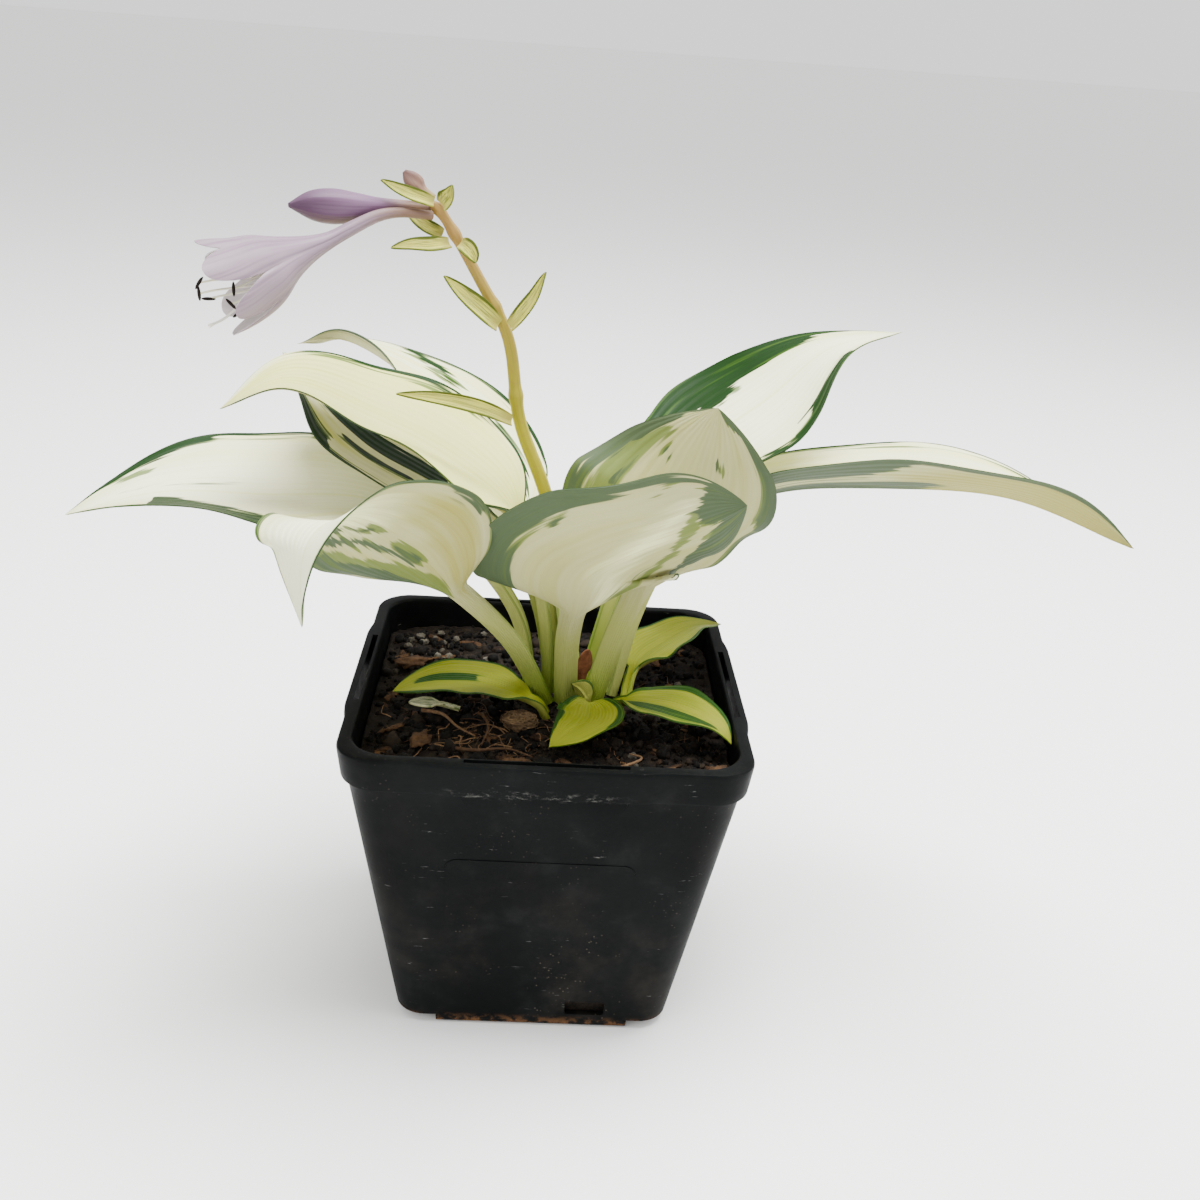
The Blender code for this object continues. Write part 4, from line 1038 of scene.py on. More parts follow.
def pot_material():
    """Charcoal plastic with dust, pale scuffs under the lip and dried earth at the foot."""
    s = Shader("pot_plastic")
    place = s.position()
    x, y, z = s.split(place)
    broad = s.noise(place, 22.0, 4.0, 0.6)
    cloudy = s.noise(place, 90.0, 5.0, 0.62)
    fine = s.noise(place, 900.0, 3.0, 0.6)
    colour = s.mix(s.step(broad, 0.30, 0.72), (0.0022, 0.0026, 0.0027), (0.0046, 0.0053, 0.0054))
    colour = s.mix(s.times(s.step(cloudy, 0.50, 0.75), 0.40), colour, (0.0125, 0.0130, 0.0128))

    # Dust: tiny specks, thicker in some patches and low down.
    speck = s.step(s.cells(place, 620.0), 0.20, 0.10)
    patches = s.step(s.noise(place, 60.0, 3.0), 0.50, 0.66)
    low = s.span(z, 0.0, 0.05, 0.9, 0.25)
    dust = s.times(s.times(speck, patches), low)
    colour = s.mix(s.times(dust, 0.5), colour, (0.13, 0.11, 0.08))
    film = s.times(s.step(s.noise(place, 34.0, 5.0, 0.7), 0.48, 0.72), s.span(z, 0.0, 0.06, 0.40, 0.06))
    colour = s.mix(film, colour, (0.030, 0.026, 0.021))

    # Scratches run in short strokes, mostly level.
    stroke = s.join(s.times(x, 160.0), s.times(y, 160.0), s.times(z, 1500.0))
    scratch = s.step(s.noise(stroke, 1.0, 3.0, 0.7), 0.66, 0.74)
    scratch = s.times(scratch, s.step(s.noise(place, 75.0, 2.0), 0.50, 0.62))
    colour = s.mix(s.times(scratch, 0.45), colour, (0.22, 0.22, 0.21))

    # Scuffs where the lip's lower edge was rubbed at the front.
    near_lip = s.times(s.step(z, 0.0795, 0.0812), s.step(z, 0.0850, 0.0828))
    front = s.times(s.step(y, -0.045, -0.050), s.step(s.calc("ABSOLUTE", s.plus(x, 0.002)), 0.026, 0.014))
    rubbed = s.step(s.noise(s.join(s.times(x, 300.0), 0.0, s.times(z, 700.0)), 1.0, 5.0, 0.75), 0.50, 0.68)
    scuff = s.times(s.times(near_lip, front), rubbed)
    colour = s.mix(s.times(scuff, 0.30), colour, (0.22, 0.22, 0.20))

    # Dried earth along the foot.
    foot = s.times(s.step(z, 0.0045, 0.0008), s.step(s.noise(place, 260.0, 4.0, 0.7), 0.42, 0.58))
    colour = s.mix(s.times(foot, 0.9), colour, (0.13, 0.065, 0.030))

    s.shine(0.028)
    grime = s.plus(dust, s.plus(foot, scuff))
    rough = s.plus(s.span(cloudy, 0.3, 0.75, 0.38, 0.54), s.times(grime, 0.30))
    height = s.plus(s.times(fine, 0.5), s.plus(s.times(grime, 1.3), s.times(scratch, 0.6)))
    return s.finish(colour, rough, height, 0.00012, 0.5)


# --- The plant ----------------------------------------------------------------------------------


def margin_of(leaf, v, t):
    """How far each point lies inside the green margin, less than 0 in the pale middle."""
    inside = np.clip(t, 0, 1)
    left = np.interp(inside, *zip(*leaf["green_left"]))
    right = np.interp(inside, *zip(*leaf["green_right"]))
    share = ease(-0.35, 0.35, v)[None, :]
    width = left[:, None] * (1 - share) + right[:, None] * share
    return np.abs(v)[None, :] - (1 - width)


def stroke_depth(points, half, v, t):
    """How far inside a stroke each point of the leaf lies, less than 0 outside it."""
    across, along = np.meshgrid(v, t * LONG)
    nearest = np.full(across.shape, 9.0)
    for (v0, t0), (v1, t1) in zip(points[:-1], points[1:]):
        run = np.array([v1 - v0, (t1 - t0) * LONG])
        from_start = np.stack([across - v0, along - t0 * LONG], axis=-1)
        share = np.clip(from_start @ run / (run @ run), 0, 1)
        away = from_start - share[..., None] * run
        nearest = np.minimum(nearest, np.hypot(away[..., 0], away[..., 1]))
    return half - nearest


def markings(name, leaf, v, t):
    """How far each point lies inside the dark green, the fresh green, and the warm and light patches."""
    depths = {"dark": margin_of(leaf, v, t)}
    for tone in ("fresh", "warm", "light"):
        depths[tone] = np.full(depths["dark"].shape, -1.0)
    for tone, half, points in MARKS.get(name, []):
        if tone == "beyond":
            past = (t[:, None] - np.interp(v, *zip(*points))[None, :]) * LONG
            depths["dark"] = np.maximum(depths["dark"], past)
            continue
        depth = stroke_depth(points, half, v, t)
        if tone == "pale":
            depths["dark"] = np.minimum(depths["dark"], -depth)
            depths["fresh"] = np.minimum(depths["fresh"], -depth)
        else:
            depths[tone] = np.maximum(depths[tone], depth)
    return depths


def add_leaf(name, leaf, seed, material):
    low = name in LOW_LEAVES
    v = np.linspace(-1, 1, 41 if low else 65)
    points, t, half = leaf_sheet(leaf, 16 if low else 34, 60 if low else 120, v)
    normals = grid_normals(points)
    blade = ease(-0.05, 0.15, t)[:, None]
    away = np.abs(v)[None, :]
    size = half[:, None]

    # The midrib is a groove above and a ridge below, and the margin ripples a little.
    groove = np.exp(-((v / 0.05) ** 2))[None, :] * blade * (1 - 0.7 * ease(0.3, 1, t))[:, None]
    ripple = np.sin(t * 17 + seed)[:, None] * away**3 * 0.028
    sway = np.sin(t * 7 + 2 * seed)[:, None] * v[None] * 0.02
    lift = (ripple + sway) * size * blade * ease(1.0, 0.85, t)[:, None] - 0.30 * groove
    points = points + normals * lift[..., None]

    rod = PETIOLE_THICKNESS * (0.75 if low else 1.1)
    thin = BLADE_THICKNESS * (1 - 0.45 * away**4)
    round_rod = rod * (1.25 - 0.85 * away**2)
    thickness = round_rod * (1 - ease(0, 0.3, t)[:, None]) + thin * ease(0, 0.3, t)[:, None] + 0.5 * groove
    thickness = thickness * (0.35 + 0.65 * ease(1.0, 0.93, t)[:, None])

    depths = markings(name, leaf, v, t)
    tint = np.zeros(points.shape)
    tint[..., 0] = depths["dark"]
    tint[..., 1] = ease(0.10, -0.9, t)[:, None]
    made = add_sheet(f"{name}_blade", points, thickness, places_on(v, t, seed), tint)
    marks = np.stack([depths[tone] for tone in ("fresh", "warm", "light")], axis=-1)
    put_attribute(made, "marks", np.tile(marks.reshape(-1, 3), (2, 1)))
    return settle(made, "leaf_low" if low else "leaf", material, name)


def add_bract(name, bract, seed, material):
    """A boat-shaped bract that clasps the stalk, with a keel and a drawn-out tip."""
    at = np.linspace(0, 1, 44)
    v = np.linspace(-1, 1, 25)
    rows, length = curve_rows(bract["path"], at)
    rows = smoothed(rows, 6)
    side, upper = frames_along(rows[:, :3], np.radians(rows[:, 3]), bract["heading"], at, length)
    half = bract["width"] / 2 * outline(0.10 + 0.90 * at, 0.5, 0.75) + 0.12
    points = np.zeros((len(at), len(v), 3))
    for j, w in enumerate(v):
        out = w * half * 0.85
        rise = abs(w) ** 1.5 * half * 0.5
        points[:, j] = rows[:, :3] + side * out[:, None] + upper * rise[:, None]
    thickness = np.full((len(at), len(v)), 0.42) * (1.25 - 0.5 * np.abs(v)[None, :])
    tint = np.zeros(points.shape)
    tint[..., 0] = np.abs(v)[None, :] - 0.78 + 0.25 * ease(0.75, 1, at)[:, None]
    tint[..., 1] = 0.28 * ease(0.25, 0, at)[:, None]
    made = add_sheet(f"{name}_blade", points, thickness, places_on(v, at, seed), tint)
    return settle(made, "bract", material, name)


def flower_reach(turn, gap):
    """How much of the flower's length there is here: most at a petal's tip, least between two petals."""
    facing = max(math.cos(turn - math.radians(NEAR_TURN)), 0)
    depth = LOBE_DEPTH * (NOTCH_LEAST + NOTCH_MORE * facing) * gap**NOTCH_POWER
    return 1 - depth - NEAR_SHORTER * facing**2 - FAR_SHORTER * (1 - math.sin(turn))


def add_open_flower(material):
    """A funnel of six joined petals, whose tips part, overlap and turn out a little."""
    per_lobe = 26
    columns = LOBES * per_lobe
    steps = 90
    at = np.linspace(0, 1, steps)
    turns = np.arange(columns) / columns * 2 * math.pi
    from_lobe = np.abs(((turns * LOBES / (2 * math.pi) + 0.5) % 1) - 0.5) * 2
    outer_wall = np.zeros((steps, columns, 3))
    inner_wall = np.zeros((steps, columns, 3))
    for k, turn in enumerate(turns):
        gap = from_lobe[k]
        reach = flower_reach(turn, gap)
        rows, first, second = ring_frames(FLOWER_PATH, at * reach, 3)
        size = radii_along(FLOWER_PATH, FLOWER_RADII, at * reach)
        layer = 1 if int(turn * LOBES / (2 * math.pi) + 0.5) % 2 else -1
        free = ease(0.8, 1.0, at)
        keel = (0.045 - 0.075 * gap**2) * ease(0.15, 0.6, at)
        flare = (0.07 + 0.03 * layer) * ease(0.84, 1.0, at) * (1 - gap)
        wave = 0.02 * math.sin(5 * turn + 1) * ease(0.6, 1.0, at)
        size = size * (1 + keel + flare + wave) + 0.12 * layer * free
        direction = first * math.cos(turn) + second * math.sin(turn)
        outer_wall[:, k] = rows + direction * size[:, None]
        wall = np.minimum(0.42, size * 0.4) * (1 - 0.5 * ease(0.8, 1, at))
        inner_wall[:, k] = rows + direction * (size - wall)[:, None]
    points = np.vstack([outer_wall.reshape(-1, 3), inner_wall.reshape(-1, 3)])
    count = steps * columns
    faces = grid_faces(steps, columns, 0, turned=True, closed=True)
    faces += grid_faces(steps, columns, count, closed=True)
    for k in range(columns):
        nxt = (k + 1) % columns
        rim = (steps - 1) * columns
        faces.append((rim + k, rim + k + count, rim + nxt + count, rim + nxt))
        faces.append((k, nxt, nxt + count, k + count))
    made = add_mesh("flower_open_petals", points, faces, 55)
    place = np.zeros((2, steps, columns, 3))
    place[..., 0] = turns / (2 * math.pi)
    place[..., 1] = at[:, None]
    place[..., 2] = from_lobe * ease(0.5, 0.8, at)[:, None]
    place[1, ..., 2] += 2
    put_attribute(made, "place", place.reshape(-1, 3))
    return settle(made, "flower_open", material, "flower_open")


def anther_points(centre, along, length, radius):
    """A small bean-shaped anther lying across the tip of its filament."""
    along = np.asarray(along, float) / np.linalg.norm(along)
    side = np.cross(along, [0.3, 0.2, 1.0])
    side /= np.linalg.norm(side)
    up = np.cross(side, along)
    bm = bmesh.new()
    bmesh.ops.create_uvsphere(bm, u_segments=14, v_segments=10, radius=1)
    points = []
    for vert in bm.verts:
        x, y, z = vert.co
        pinch = 1 - 0.28 * math.exp(-((y / 0.3) ** 2)) * (x > 0)
        bend = 0.35 * z * z
        across = side * (x * pinch - bend) * radius
        points.append(centre + along * z * length / 2 + across + up * y * radius)
    faces = [tuple(v.index for v in face.verts) for face in bm.faces]
    bm.free()
    return np.array(points), faces


def thread_path(turn, reach, down, near):
    """A path from the flower's wall to its place in the mouth, and the ways ahead and down at its end."""
    at = np.linspace(STAMEN_START, reach, 7)
    rows, first, second = ring_frames(FLOWER_PATH, at, 0)
    wall = radii_along(FLOWER_PATH, FLOWER_RADII, at[:1])[0] - FLOWER_WALL - STAMEN_RADIUS - GAP
    share = ease(0, 1, np.linspace(0, 1, 7))
    angle = math.radians(turn)
    lower = wall * math.cos(angle) * (1 - share) + down * share
    nearer = wall * math.sin(angle) * (1 - share) + near * share
    path = rows + first * lower[:, None] + second * nearer[:, None]
    ahead = (rows[-1] - rows[-2]) / np.linalg.norm(rows[-1] - rows[-2])
    return path, ahead, first[-1]


def add_stamens(filament, anther, pale):
    """Six thread-like stamens with dark anthers, and the style, each from the wall out to the mouth."""
    for k, (turn, reach, down, near, lean_ahead, lean_down) in enumerate(STAMENS):
        path, ahead, below = thread_path(turn, reach, down, near)
        made = add_tube(f"stamen_{k + 1}_filament", path, lambda s: 0.34 - 0.12 * s, 10, 60)
        settle(made, "stamen", filament, f"stamen_{k + 1}")
        along = ahead * lean_ahead + below * lean_down
        points, faces = anther_points(path[-1] - ahead * 0.3, along, ANTHER_LENGTH, ANTHER_RADIUS)
        tip = add_mesh(f"stamen_{k + 1}_anther", points, faces)
        settle(tip, "stamen", anther)
    path, _, _ = thread_path(*STYLE)
    made = add_tube("style_thread", path, lambda s: 0.30 + 0.20 * ease(0.93, 1, s), 12, 60)
    settle(made, "style", pale, "style")


def add_buds(bud_skin, young_skin):
    """The closed purple bud with its six folded petals, and the small bud at the very top."""
    def bud_radii(s):
        return radii_along(BUD_PATH, BUD_RADII, s)

    def folds(s, turn):
        ridges = 0.07 * np.cos(3 * turn) * ease(0.25, 0.6, s)
        creases = 0.05 * np.abs(np.sin(3 * turn)) * ease(0.3, 0.9, s)
        return 1 + ridges - creases

    made = add_tube("flower_bud_petals", BUD_PATH, bud_radii, 60, 90, folds)
    settle(made, "flower_bud", bud_skin, "flower_bud")

    def young_radii(s):
        return radii_along(YOUNG_BUD_PATH, YOUNG_BUD_RADII, s)

    def scales(s, turn):
        return 1 + 0.14 * np.cos(3 * turn + 5 * s) * ease(0.15, 0.5, s)

    made = add_tube("bud_young_scales", YOUNG_BUD_PATH, young_radii, 40, 50, scales)
    settle(made, "bud_young", young_skin, "bud_young")


def add_scape(material):
    path = SCAPE_PATH + [SCAPE_TIP]
    sizes = SCAPE_RADII + [SCAPE_TIP_RADIUS]
    known = [fraction_of(path, i) for i in range(len(path))]

    def radii(s):
        swell = sum(0.35 * np.exp(-(((s - node) / 0.012) ** 2)) for node in (0.62, 0.79, 0.935, 0.985))
        return np.interp(s, known, sizes) + swell

    def ribs(s, turn):
        return 1 + 0.035 * np.cos(7 * turn + 2 * s)

    made = add_tube("scape_stalk", path, radii, 42, 200, ribs)
    settle(made, "scape", material, "scape")


# --- The pot ------------------------------------------------------------------------------------


def wall_half(z):
    """Half the width over the tapered outer wall at this height."""
    top = POT_TOP / 2 - LIP_STEP - 0.9
    return POT_BOTTOM / 2 + (top - POT_BOTTOM / 2) * z / LIP


def corner_at(z):
    return CORNER_BOTTOM + (CORNER_TOP - CORNER_BOTTOM) * z / POT_HEIGHT


def rounded_square(half, corner, bulge, z, per_side=27, per_corner=12):
    """A ring of points round a square with round corners, its sides pushed out by the bulge."""
    flat = half - corner
    ring = []
    for side in range(4):
        turn = side * math.pi / 2
        cosine, sine = math.cos(turn), math.sin(turn)
        points = []
        for u in np.linspace(-1, 1, per_side)[:-1]:
            points.append((half + bulge * float(ease(0.71, 0.55, abs(u))), u * flat))
        for k in range(per_corner):
            angle = math.pi / 2 * k / per_corner
            points.append((flat + corner * math.cos(angle), flat + corner * math.sin(angle)))
        ring += [(x * cosine - y * sine, x * sine + y * cosine, z) for x, y in points]
    return ring


def pot_profile():
    """Height, half width and bulge of each ring, up the outside, over the rim and down the inside."""
    top = POT_TOP / 2
    rim = top - RIM_WALL
    rings = [(0.0, wall_half(0) - 1.5, 0), (0.2, wall_half(0) - 0.7, 0), (0.7, wall_half(0.7) - 0.2, 0)]
    rings += [(z, wall_half(z), 0) for z in (1.4, 4, 8, 20, 32, 44, 56, 68, 76, LIP - 0.9)]
    rings += [(LIP - 0.35, wall_half(LIP) + 0.06, 0), (LIP - 0.08, wall_half(LIP) + 0.35, 0)]
    rings += [(LIP, top - 1.35, LIP_BULGE * 0.8)]
    rising = ((0.12, 1.02), (0.5, 0.9), (3, 0.6), (6, 0.25))
    rings += [(LIP + rise, top - inset, LIP_BULGE) for rise, inset in rising]
    rounding = ((1.1, 0.02), (0.5, 0.06), (0.14, 0.3), (0, 0.75))
    rings += [(POT_HEIGHT - drop, top - inset, LIP_BULGE) for drop, inset in rounding]
    inward = ((0, 0.8), (0.12, 0.35), (0.5, 0.06), (1.0, 0))
    rings += [(POT_HEIGHT - drop, rim + out, 0) for drop, out in inward]
    rings += [(LIP + 4, rim - 0.1, 0), (LIP, wall_half(LIP) - WALL, 0)]
    rings += [(z, wall_half(z) - WALL, 0) for z in (60, 40, 20, FLOOR)]
    return rings


def object_of(name, bm):
    """An object from a finished bmesh, which is freed."""
    mesh = bpy.data.meshes.new(name)
    bm.to_mesh(mesh)
    bm.free()
    made = bpy.data.objects.new(name, mesh)
    bpy.context.scene.collection.objects.link(made)
    return made


def box_cutter(name, low, high, turn, rounding=0.0):
    """A box between two corners, turned about the pot's axis. It only shapes the pot."""
    bm = bmesh.new()
    bmesh.ops.create_cube(bm, size=1)
    for vert in bm.verts:
        for axis in range(3):
            middle = (low[axis] + high[axis]) / 2
            vert.co[axis] = (middle + vert.co[axis] * (high[axis] - low[axis])) * MM
    if rounding:
        edges = list(bm.edges)
        bmesh.ops.bevel(bm, geom=edges, offset=rounding * MM, segments=3, affect="EDGES", profile=0.5)
    bmesh.ops.rotate(bm, verts=bm.verts, matrix=Matrix.Rotation(math.radians(turn), 3, "Z"))
    return object_of(name, bm)


def panel_block():
    """The plain raised panel on the front wall, leaning with it, its corners rounded."""
    bm = bmesh.new()
    bmesh.ops.create_cube(bm, size=1)
    for vert in bm.verts:
        z = PANEL_HIGH if vert.co.z > 0 else PANEL_LOW
        proud = PANEL_PROUD if vert.co.y < 0 else -0.6
        vert.co = Vector((vert.co.x * PANEL_WIDTH, -wall_half(z) - proud, z)) * MM
    upright = []
    for edge in bm.edges:
        span = edge.verts[0].co - edge.verts[1].co
        if abs(span.x) < MM and abs(span.z) < MM:
            upright.append(edge)
    bmesh.ops.bevel(bm, geom=upright, offset=3 * MM, segments=8, affect="EDGES", profile=0.5)
    return object_of("panel", bm)


def add_pot(material):
    rings = [rounded_square(half, corner_at(z), bulge, z) for z, half, bulge in pot_profile()]
    columns = len(rings[0])
    points = [p for ring in rings for p in ring]
    faces = grid_faces(len(rings), columns, 0, closed=True)
    faces.append(tuple(range(columns - 1, -1, -1)))
    faces.append(tuple(range(columns * (len(rings) - 1), columns * len(rings))))
    shell = add_mesh("pot_shell", points, faces)
    edge = FOOT_SPAN / 2
    slot_in = POT_TOP / 2 - 2.6
    wall = wall_half(2)
    helpers = []
    for side in range(4):
        turn = 90 * side
        helpers.append(box_cutter("corner", (edge, edge, -5), (60, 60, FOOT_LIFT), turn))
        low = (-SLOT_LENGTH / 2, -slot_in - SLOT_WIDTH, LIP - 3)
        high = (SLOT_LENGTH / 2, -slot_in, POT_HEIGHT + 3)
        helpers.append(box_cutter("slot", low, high, turn))
        low = (DRAIN_X - DRAIN_LENGTH / 2, -wall - 5, FLOOR + 0.4)
        high = (DRAIN_X + DRAIN_LENGTH / 2, -wall + 5, FLOOR + 0.4 + DRAIN_HEIGHT)
        helpers.append(box_cutter("drain", low, high, turn, 0.9))
    for helper in helpers:
        cut = shell.modifiers.new(helper.name, "BOOLEAN")
        cut.operation = "DIFFERENCE"
        cut.solver = "EXACT"
        cut.object = helper
    helpers.append(panel_block())
    raised = shell.modifiers.new("panel", "BOOLEAN")
    raised.operation = "UNION"
    raised.solver = "EXACT"
    raised.object = helpers[-1]
    graph = bpy.context.evaluated_depsgraph_get()
    mesh = bpy.data.meshes.new_from_object(shell.evaluated_get(graph))
    shell.modifiers.clear()
    shell.data = mesh
    for helper in helpers:
        bpy.data.objects.remove(helper, do_unlink=True)
    mesh.shade_smooth()
    mesh.set_sharp_from_angle(angle=math.radians(34))
    return settle(shell, "pot", material, "pot")


# --- Soil and loose pieces ----------------------------------------------------------------------


def soil_height(x, y):
    """The soil's surface: level round the crown, gently uneven elsewhere, and clotted all over."""
    away = math.hypot(x - CROWN_CENTRE[0], y - CROWN_CENTRE[1])
    uneven = 0.5 * math.sin(x * 0.21 + 1) * math.sin(y * 0.17) - 0.5
    clods = noise.fractal(Vector((x * 0.22, y * 0.22, 3.0)), 0.8, 2.1, 5)
    lumps = noise.noise(Vector((x * 0.55, y * 0.55, 9.0)))
    return SOIL_TOP + uneven * float(ease(18, 26, away)) + 0.85 * clods + 0.45 * max(lumps, 0) - 0.1


def inside_rim(share=1.0):
    return (wall_half(LIP) - WALL - GAP - 0.3) * share


def add_soil(material):
    edge = rounded_square(inside_rim(), corner_at(LIP), 0, 0, 61, 19)
    columns = len(edge)
    points = []
    steps = 96
    for z, level in ((FLOOR + GAP, FLOOR), (LIP - 4, LIP - 4)):
        half = wall_half(level) - WALL - SOIL_CLEARANCE
        points += rounded_square(half, corner_at(z), 0, z, 61, 19)
    for i in range(steps):
        share = 1 - i / steps
        for x, y, _ in edge:
            px = CROWN_CENTRE[0] * (1 - share) + x * share
            py = CROWN_CENTRE[1] * (1 - share) + y * share
            points.append((px, py, soil_height(px, py)))
    faces = grid_faces(steps + 2, columns, 0, closed=True)
    faces.append(tuple(range(columns - 1, -1, -1)))
    faces.append(tuple(range(columns * (steps + 1), columns * (steps + 2))))
    made = add_mesh("soil_bed", points, faces)
    tone = np.zeros((len(points), 3))
    tone[:, 0] = 0.45
    put_attribute(made, "tone", tone)
    return settle(made, "soil", material, "soil")


def rough_grain(detail, unevenness, seed):
    """The points and faces of one uneven grain of unit size."""
    bm = bmesh.new()
    bmesh.ops.create_icosphere(bm, subdivisions=detail, radius=1)
    points = []
    for vert in bm.verts:
        bump = noise.fractal(vert.co * 1.7 + Vector((seed * 3.1, seed, 0)), 0.7, 2.2, 3)
        points.append(vert.co * (1 + unevenness * bump))
    faces = [[v.index for v in face.verts] for face in bm.faces]
    bm.free()
    return np.array(points), faces


def turn_matrix(angles):
    return np.array(Matrix.Rotation(angles[0], 3, "Z") @ Matrix.Rotation(angles[1], 3, "X"))


def join_grains(name, grains, detail, unevenness, kinds, material, slot, nodes=()):
    """One object from many grains. Each grain is place, three sizes, two turns and a tone."""
    patterns = [rough_grain(detail, unevenness, k + 1) for k in range(kinds)]
    shapes = []
    for index, (place, sizes, turns, tone) in enumerate(grains):
        points, faces = patterns[index % kinds]
        shapes.append(((points * sizes) @ turn_matrix(turns).T + place, faces, tone))
    return settle(join_shapes(name, shapes), slot, material, *nodes)


def scattered(count, reach, clear=7.0):
    """Places on the soil, away from the crown."""
    places = []
    while len(places) < count:
        x, y = rng.uniform(-reach, reach, 2)
        if math.hypot(x - CROWN_CENTRE[0], y - CROWN_CENTRE[1]) > clear and abs(x) + abs(y) < reach * 1.85:
            places.append((x, y))
    return places


def crumb_grains(count):
    grains = []
    for x, y in scattered(count, inside_rim(0.965), 2.0):
        size = min(0.35 + rng.exponential(0.42), 2.3)
        sizes = size * rng.uniform(0.7, 1.25, 3) * np.array([1, 1, 0.75])
        place = np.array([x, y, soil_height(x, y) + size * 0.25])
        grains.append((place, sizes, rng.uniform(0, 6, 2), rng.uniform(0, 0.9) ** 2))
    return grains


def laid_grains(table):
    """The larger loose pieces, at their own places."""
    grains = []
    for x, y, length, width, tall, turn in table:
        place = np.array([x, y, SOIL_TOP + GAP + tall / 2])
        grains.append((place, np.array([length, width, tall]) / 2, (math.radians(turn), 0.0), 0.6))
    return grains


def small_perlite(count):
    grains = []
    for i in range(count):
        if i % 2:
            x, y = rng.normal(-34, 6), rng.normal(33, 8)
        else:
            x, y = rng.uniform(-44, 44, 2)
        if max(abs(x), abs(y)) > 45 or abs(x) + abs(y) > 84:
            continue
        size = rng.uniform(0.3, 1.15)
        place = np.array([x, y, soil_height(x, y) + size * 0.45])
        grains.append((place, size * rng.uniform(0.75, 1.2, 3), rng.uniform(0, 6, 2), rng.uniform(0.2, 1)))
    return grains


def small_chips(count):
    grains = []
    for x, y in scattered(count, inside_rim(0.94)):
        length = rng.uniform(0.9, 3.4)
        sizes = np.array([length, length * rng.uniform(0.25, 0.55), rng.uniform(0.25, 0.6)])
        place = np.array([x, y, soil_height(x, y) + 0.35])
        turns = (rng.uniform(0, 6), rng.uniform(-0.4, 0.4))
        grains.append((place, sizes, turns, rng.uniform(0, 1)))
    return grains


def fibre_path(x, y, length, heading):
    """A fine root that wanders over the soil and lifts off it here and there."""
    path = []
    steps = 7
    lift = rng.uniform(0.1, 1.6)
    for i in range(steps):
        arch = math.sin(math.pi * i / (steps - 1))
        path.append((x, y, soil_height(x, y) + 0.15 + lift * arch))
        heading += rng.normal(0, 0.55)
        x += math.cos(heading) * length / (steps - 1)
        y += math.sin(heading) * length / (steps - 1)
        x = min(max(x, -45), 45)
        y = min(max(y, -45), 45)
    return path


def add_roots(material):
    """The four bolder roots and many hair-fine ones, as one object."""
    paths = [([(x, y, SOIL_TOP + GAP + z - 1.0) for x, y, z in path], 0.55) for path in ROOTS.values()]
    for _ in range(46):
        x, y = rng.normal(-16, 10), rng.normal(-23, 8)
        length, heading = rng.uniform(6, 20), rng.uniform(0, 6.3)
        path = fibre_path(np.clip(x, -42, 20), np.clip(y, -42, -8), length, heading)
        paths.append((path, rng.uniform(0.10, 0.26)))
    for x, y in scattered(34, 42, 9.0):
        paths.append((fibre_path(x, y, rng.uniform(4, 13), rng.uniform(0, 6.3)), rng.uniform(0.08, 0.2)))
    shapes = []
    for path, radius in paths:
        points, faces, _ = tube(path, lambda s: radius * (1.1 - 0.7 * s), 7, 26)
        shapes.append((points, faces, rng.uniform(0, 1)))
    return settle(join_shapes("root_fibres", shapes), "root", material, *ROOTS)


def add_clump(material):
    """A ball of torn root fibres."""
    x, y, length, width, tall, turn = CLUMP
    centre = np.array([x, y, SOIL_TOP + GAP + tall * 0.45])
    sizes = np.array([length, width, tall]) / 2
    grains = [(centre, sizes * 0.9, (math.radians(turn), 0.0), 0.5)]
    join_grains("clump_core", grains, 4, 0.35, 1, material, "clump", ["clump"])
    shapes = []
    for _ in range(60):
        heading = rng.uniform(0, 2 * math.pi)
        tilt = rng.uniform(-0.2, 1.3)
        path = []
        for _ in range(6):
            level = math.cos(tilt)
            out = np.array([math.cos(heading) * level, math.sin(heading) * level, math.sin(tilt)])
            path.append(tuple(centre + out * sizes * rng.uniform(0.92, 1.12)))
            heading += rng.uniform(0.15, 0.5)
            tilt += rng.normal(0, 0.2)
        points, faces, _ = tube(path, lambda s: 0.16 - 0.08 * s, 6, 20)
        shapes.append((points, faces, rng.uniform(0.3, 1)))
    settle(join_shapes("clump_fibres", shapes), "clump", material)


# --- Small leaves that have their own colours -----------------------------------------------------


def small_leaf(name, node, slot, leaf, thick, material):
    v = np.linspace(-1, 1, 25)
    points, t, _ = leaf_sheet(leaf, 8, 40, v)
    thickness = np.full(points.shape[:2], thick)
    tint = np.zeros(points.shape)
    tint[..., 0] = -1
    made = add_sheet(name, points, thickness, places_on(v, t, 3.0), tint)
    tone = np.zeros((len(made.data.vertices), 3))
    tone[:, 0] = 0.6
    put_attribute(made, "tone", tone)
    return settle(made, slot, material, node)


SHEATH = {
    "path": [
        (9.5, -0.6, 83.2, 0), (9.7, -0.9, 88, 0), (9.9, -1.2, 92, 0), (10.1, -1.4, 96, 0),
        (10.3, -1.6, 100, 0),
    ],
    "heading": -60,
    "width": 4.5,
    "petiole": 4,
    "shape": (0.5, 0.8),
    "cup": (10, 30, 10, 30),
}
BURIED = {
    "path": [
        (-24, -11.5, 84.2, 0), (-27, -11, 84.8, 0), (-30, -10.6, 85.2, 0), (-34, -10, 85.2, 0),
        (-38, -9, 84.9, 0),
    ],
    "heading": 170,
    "width": 5,
    "petiole": 2,
    "shape": (0.6, 0.9),
    "cup": (5, 20, 5, 20),
}


# --- Light, floor and camera ----------------------------------------------------------------------


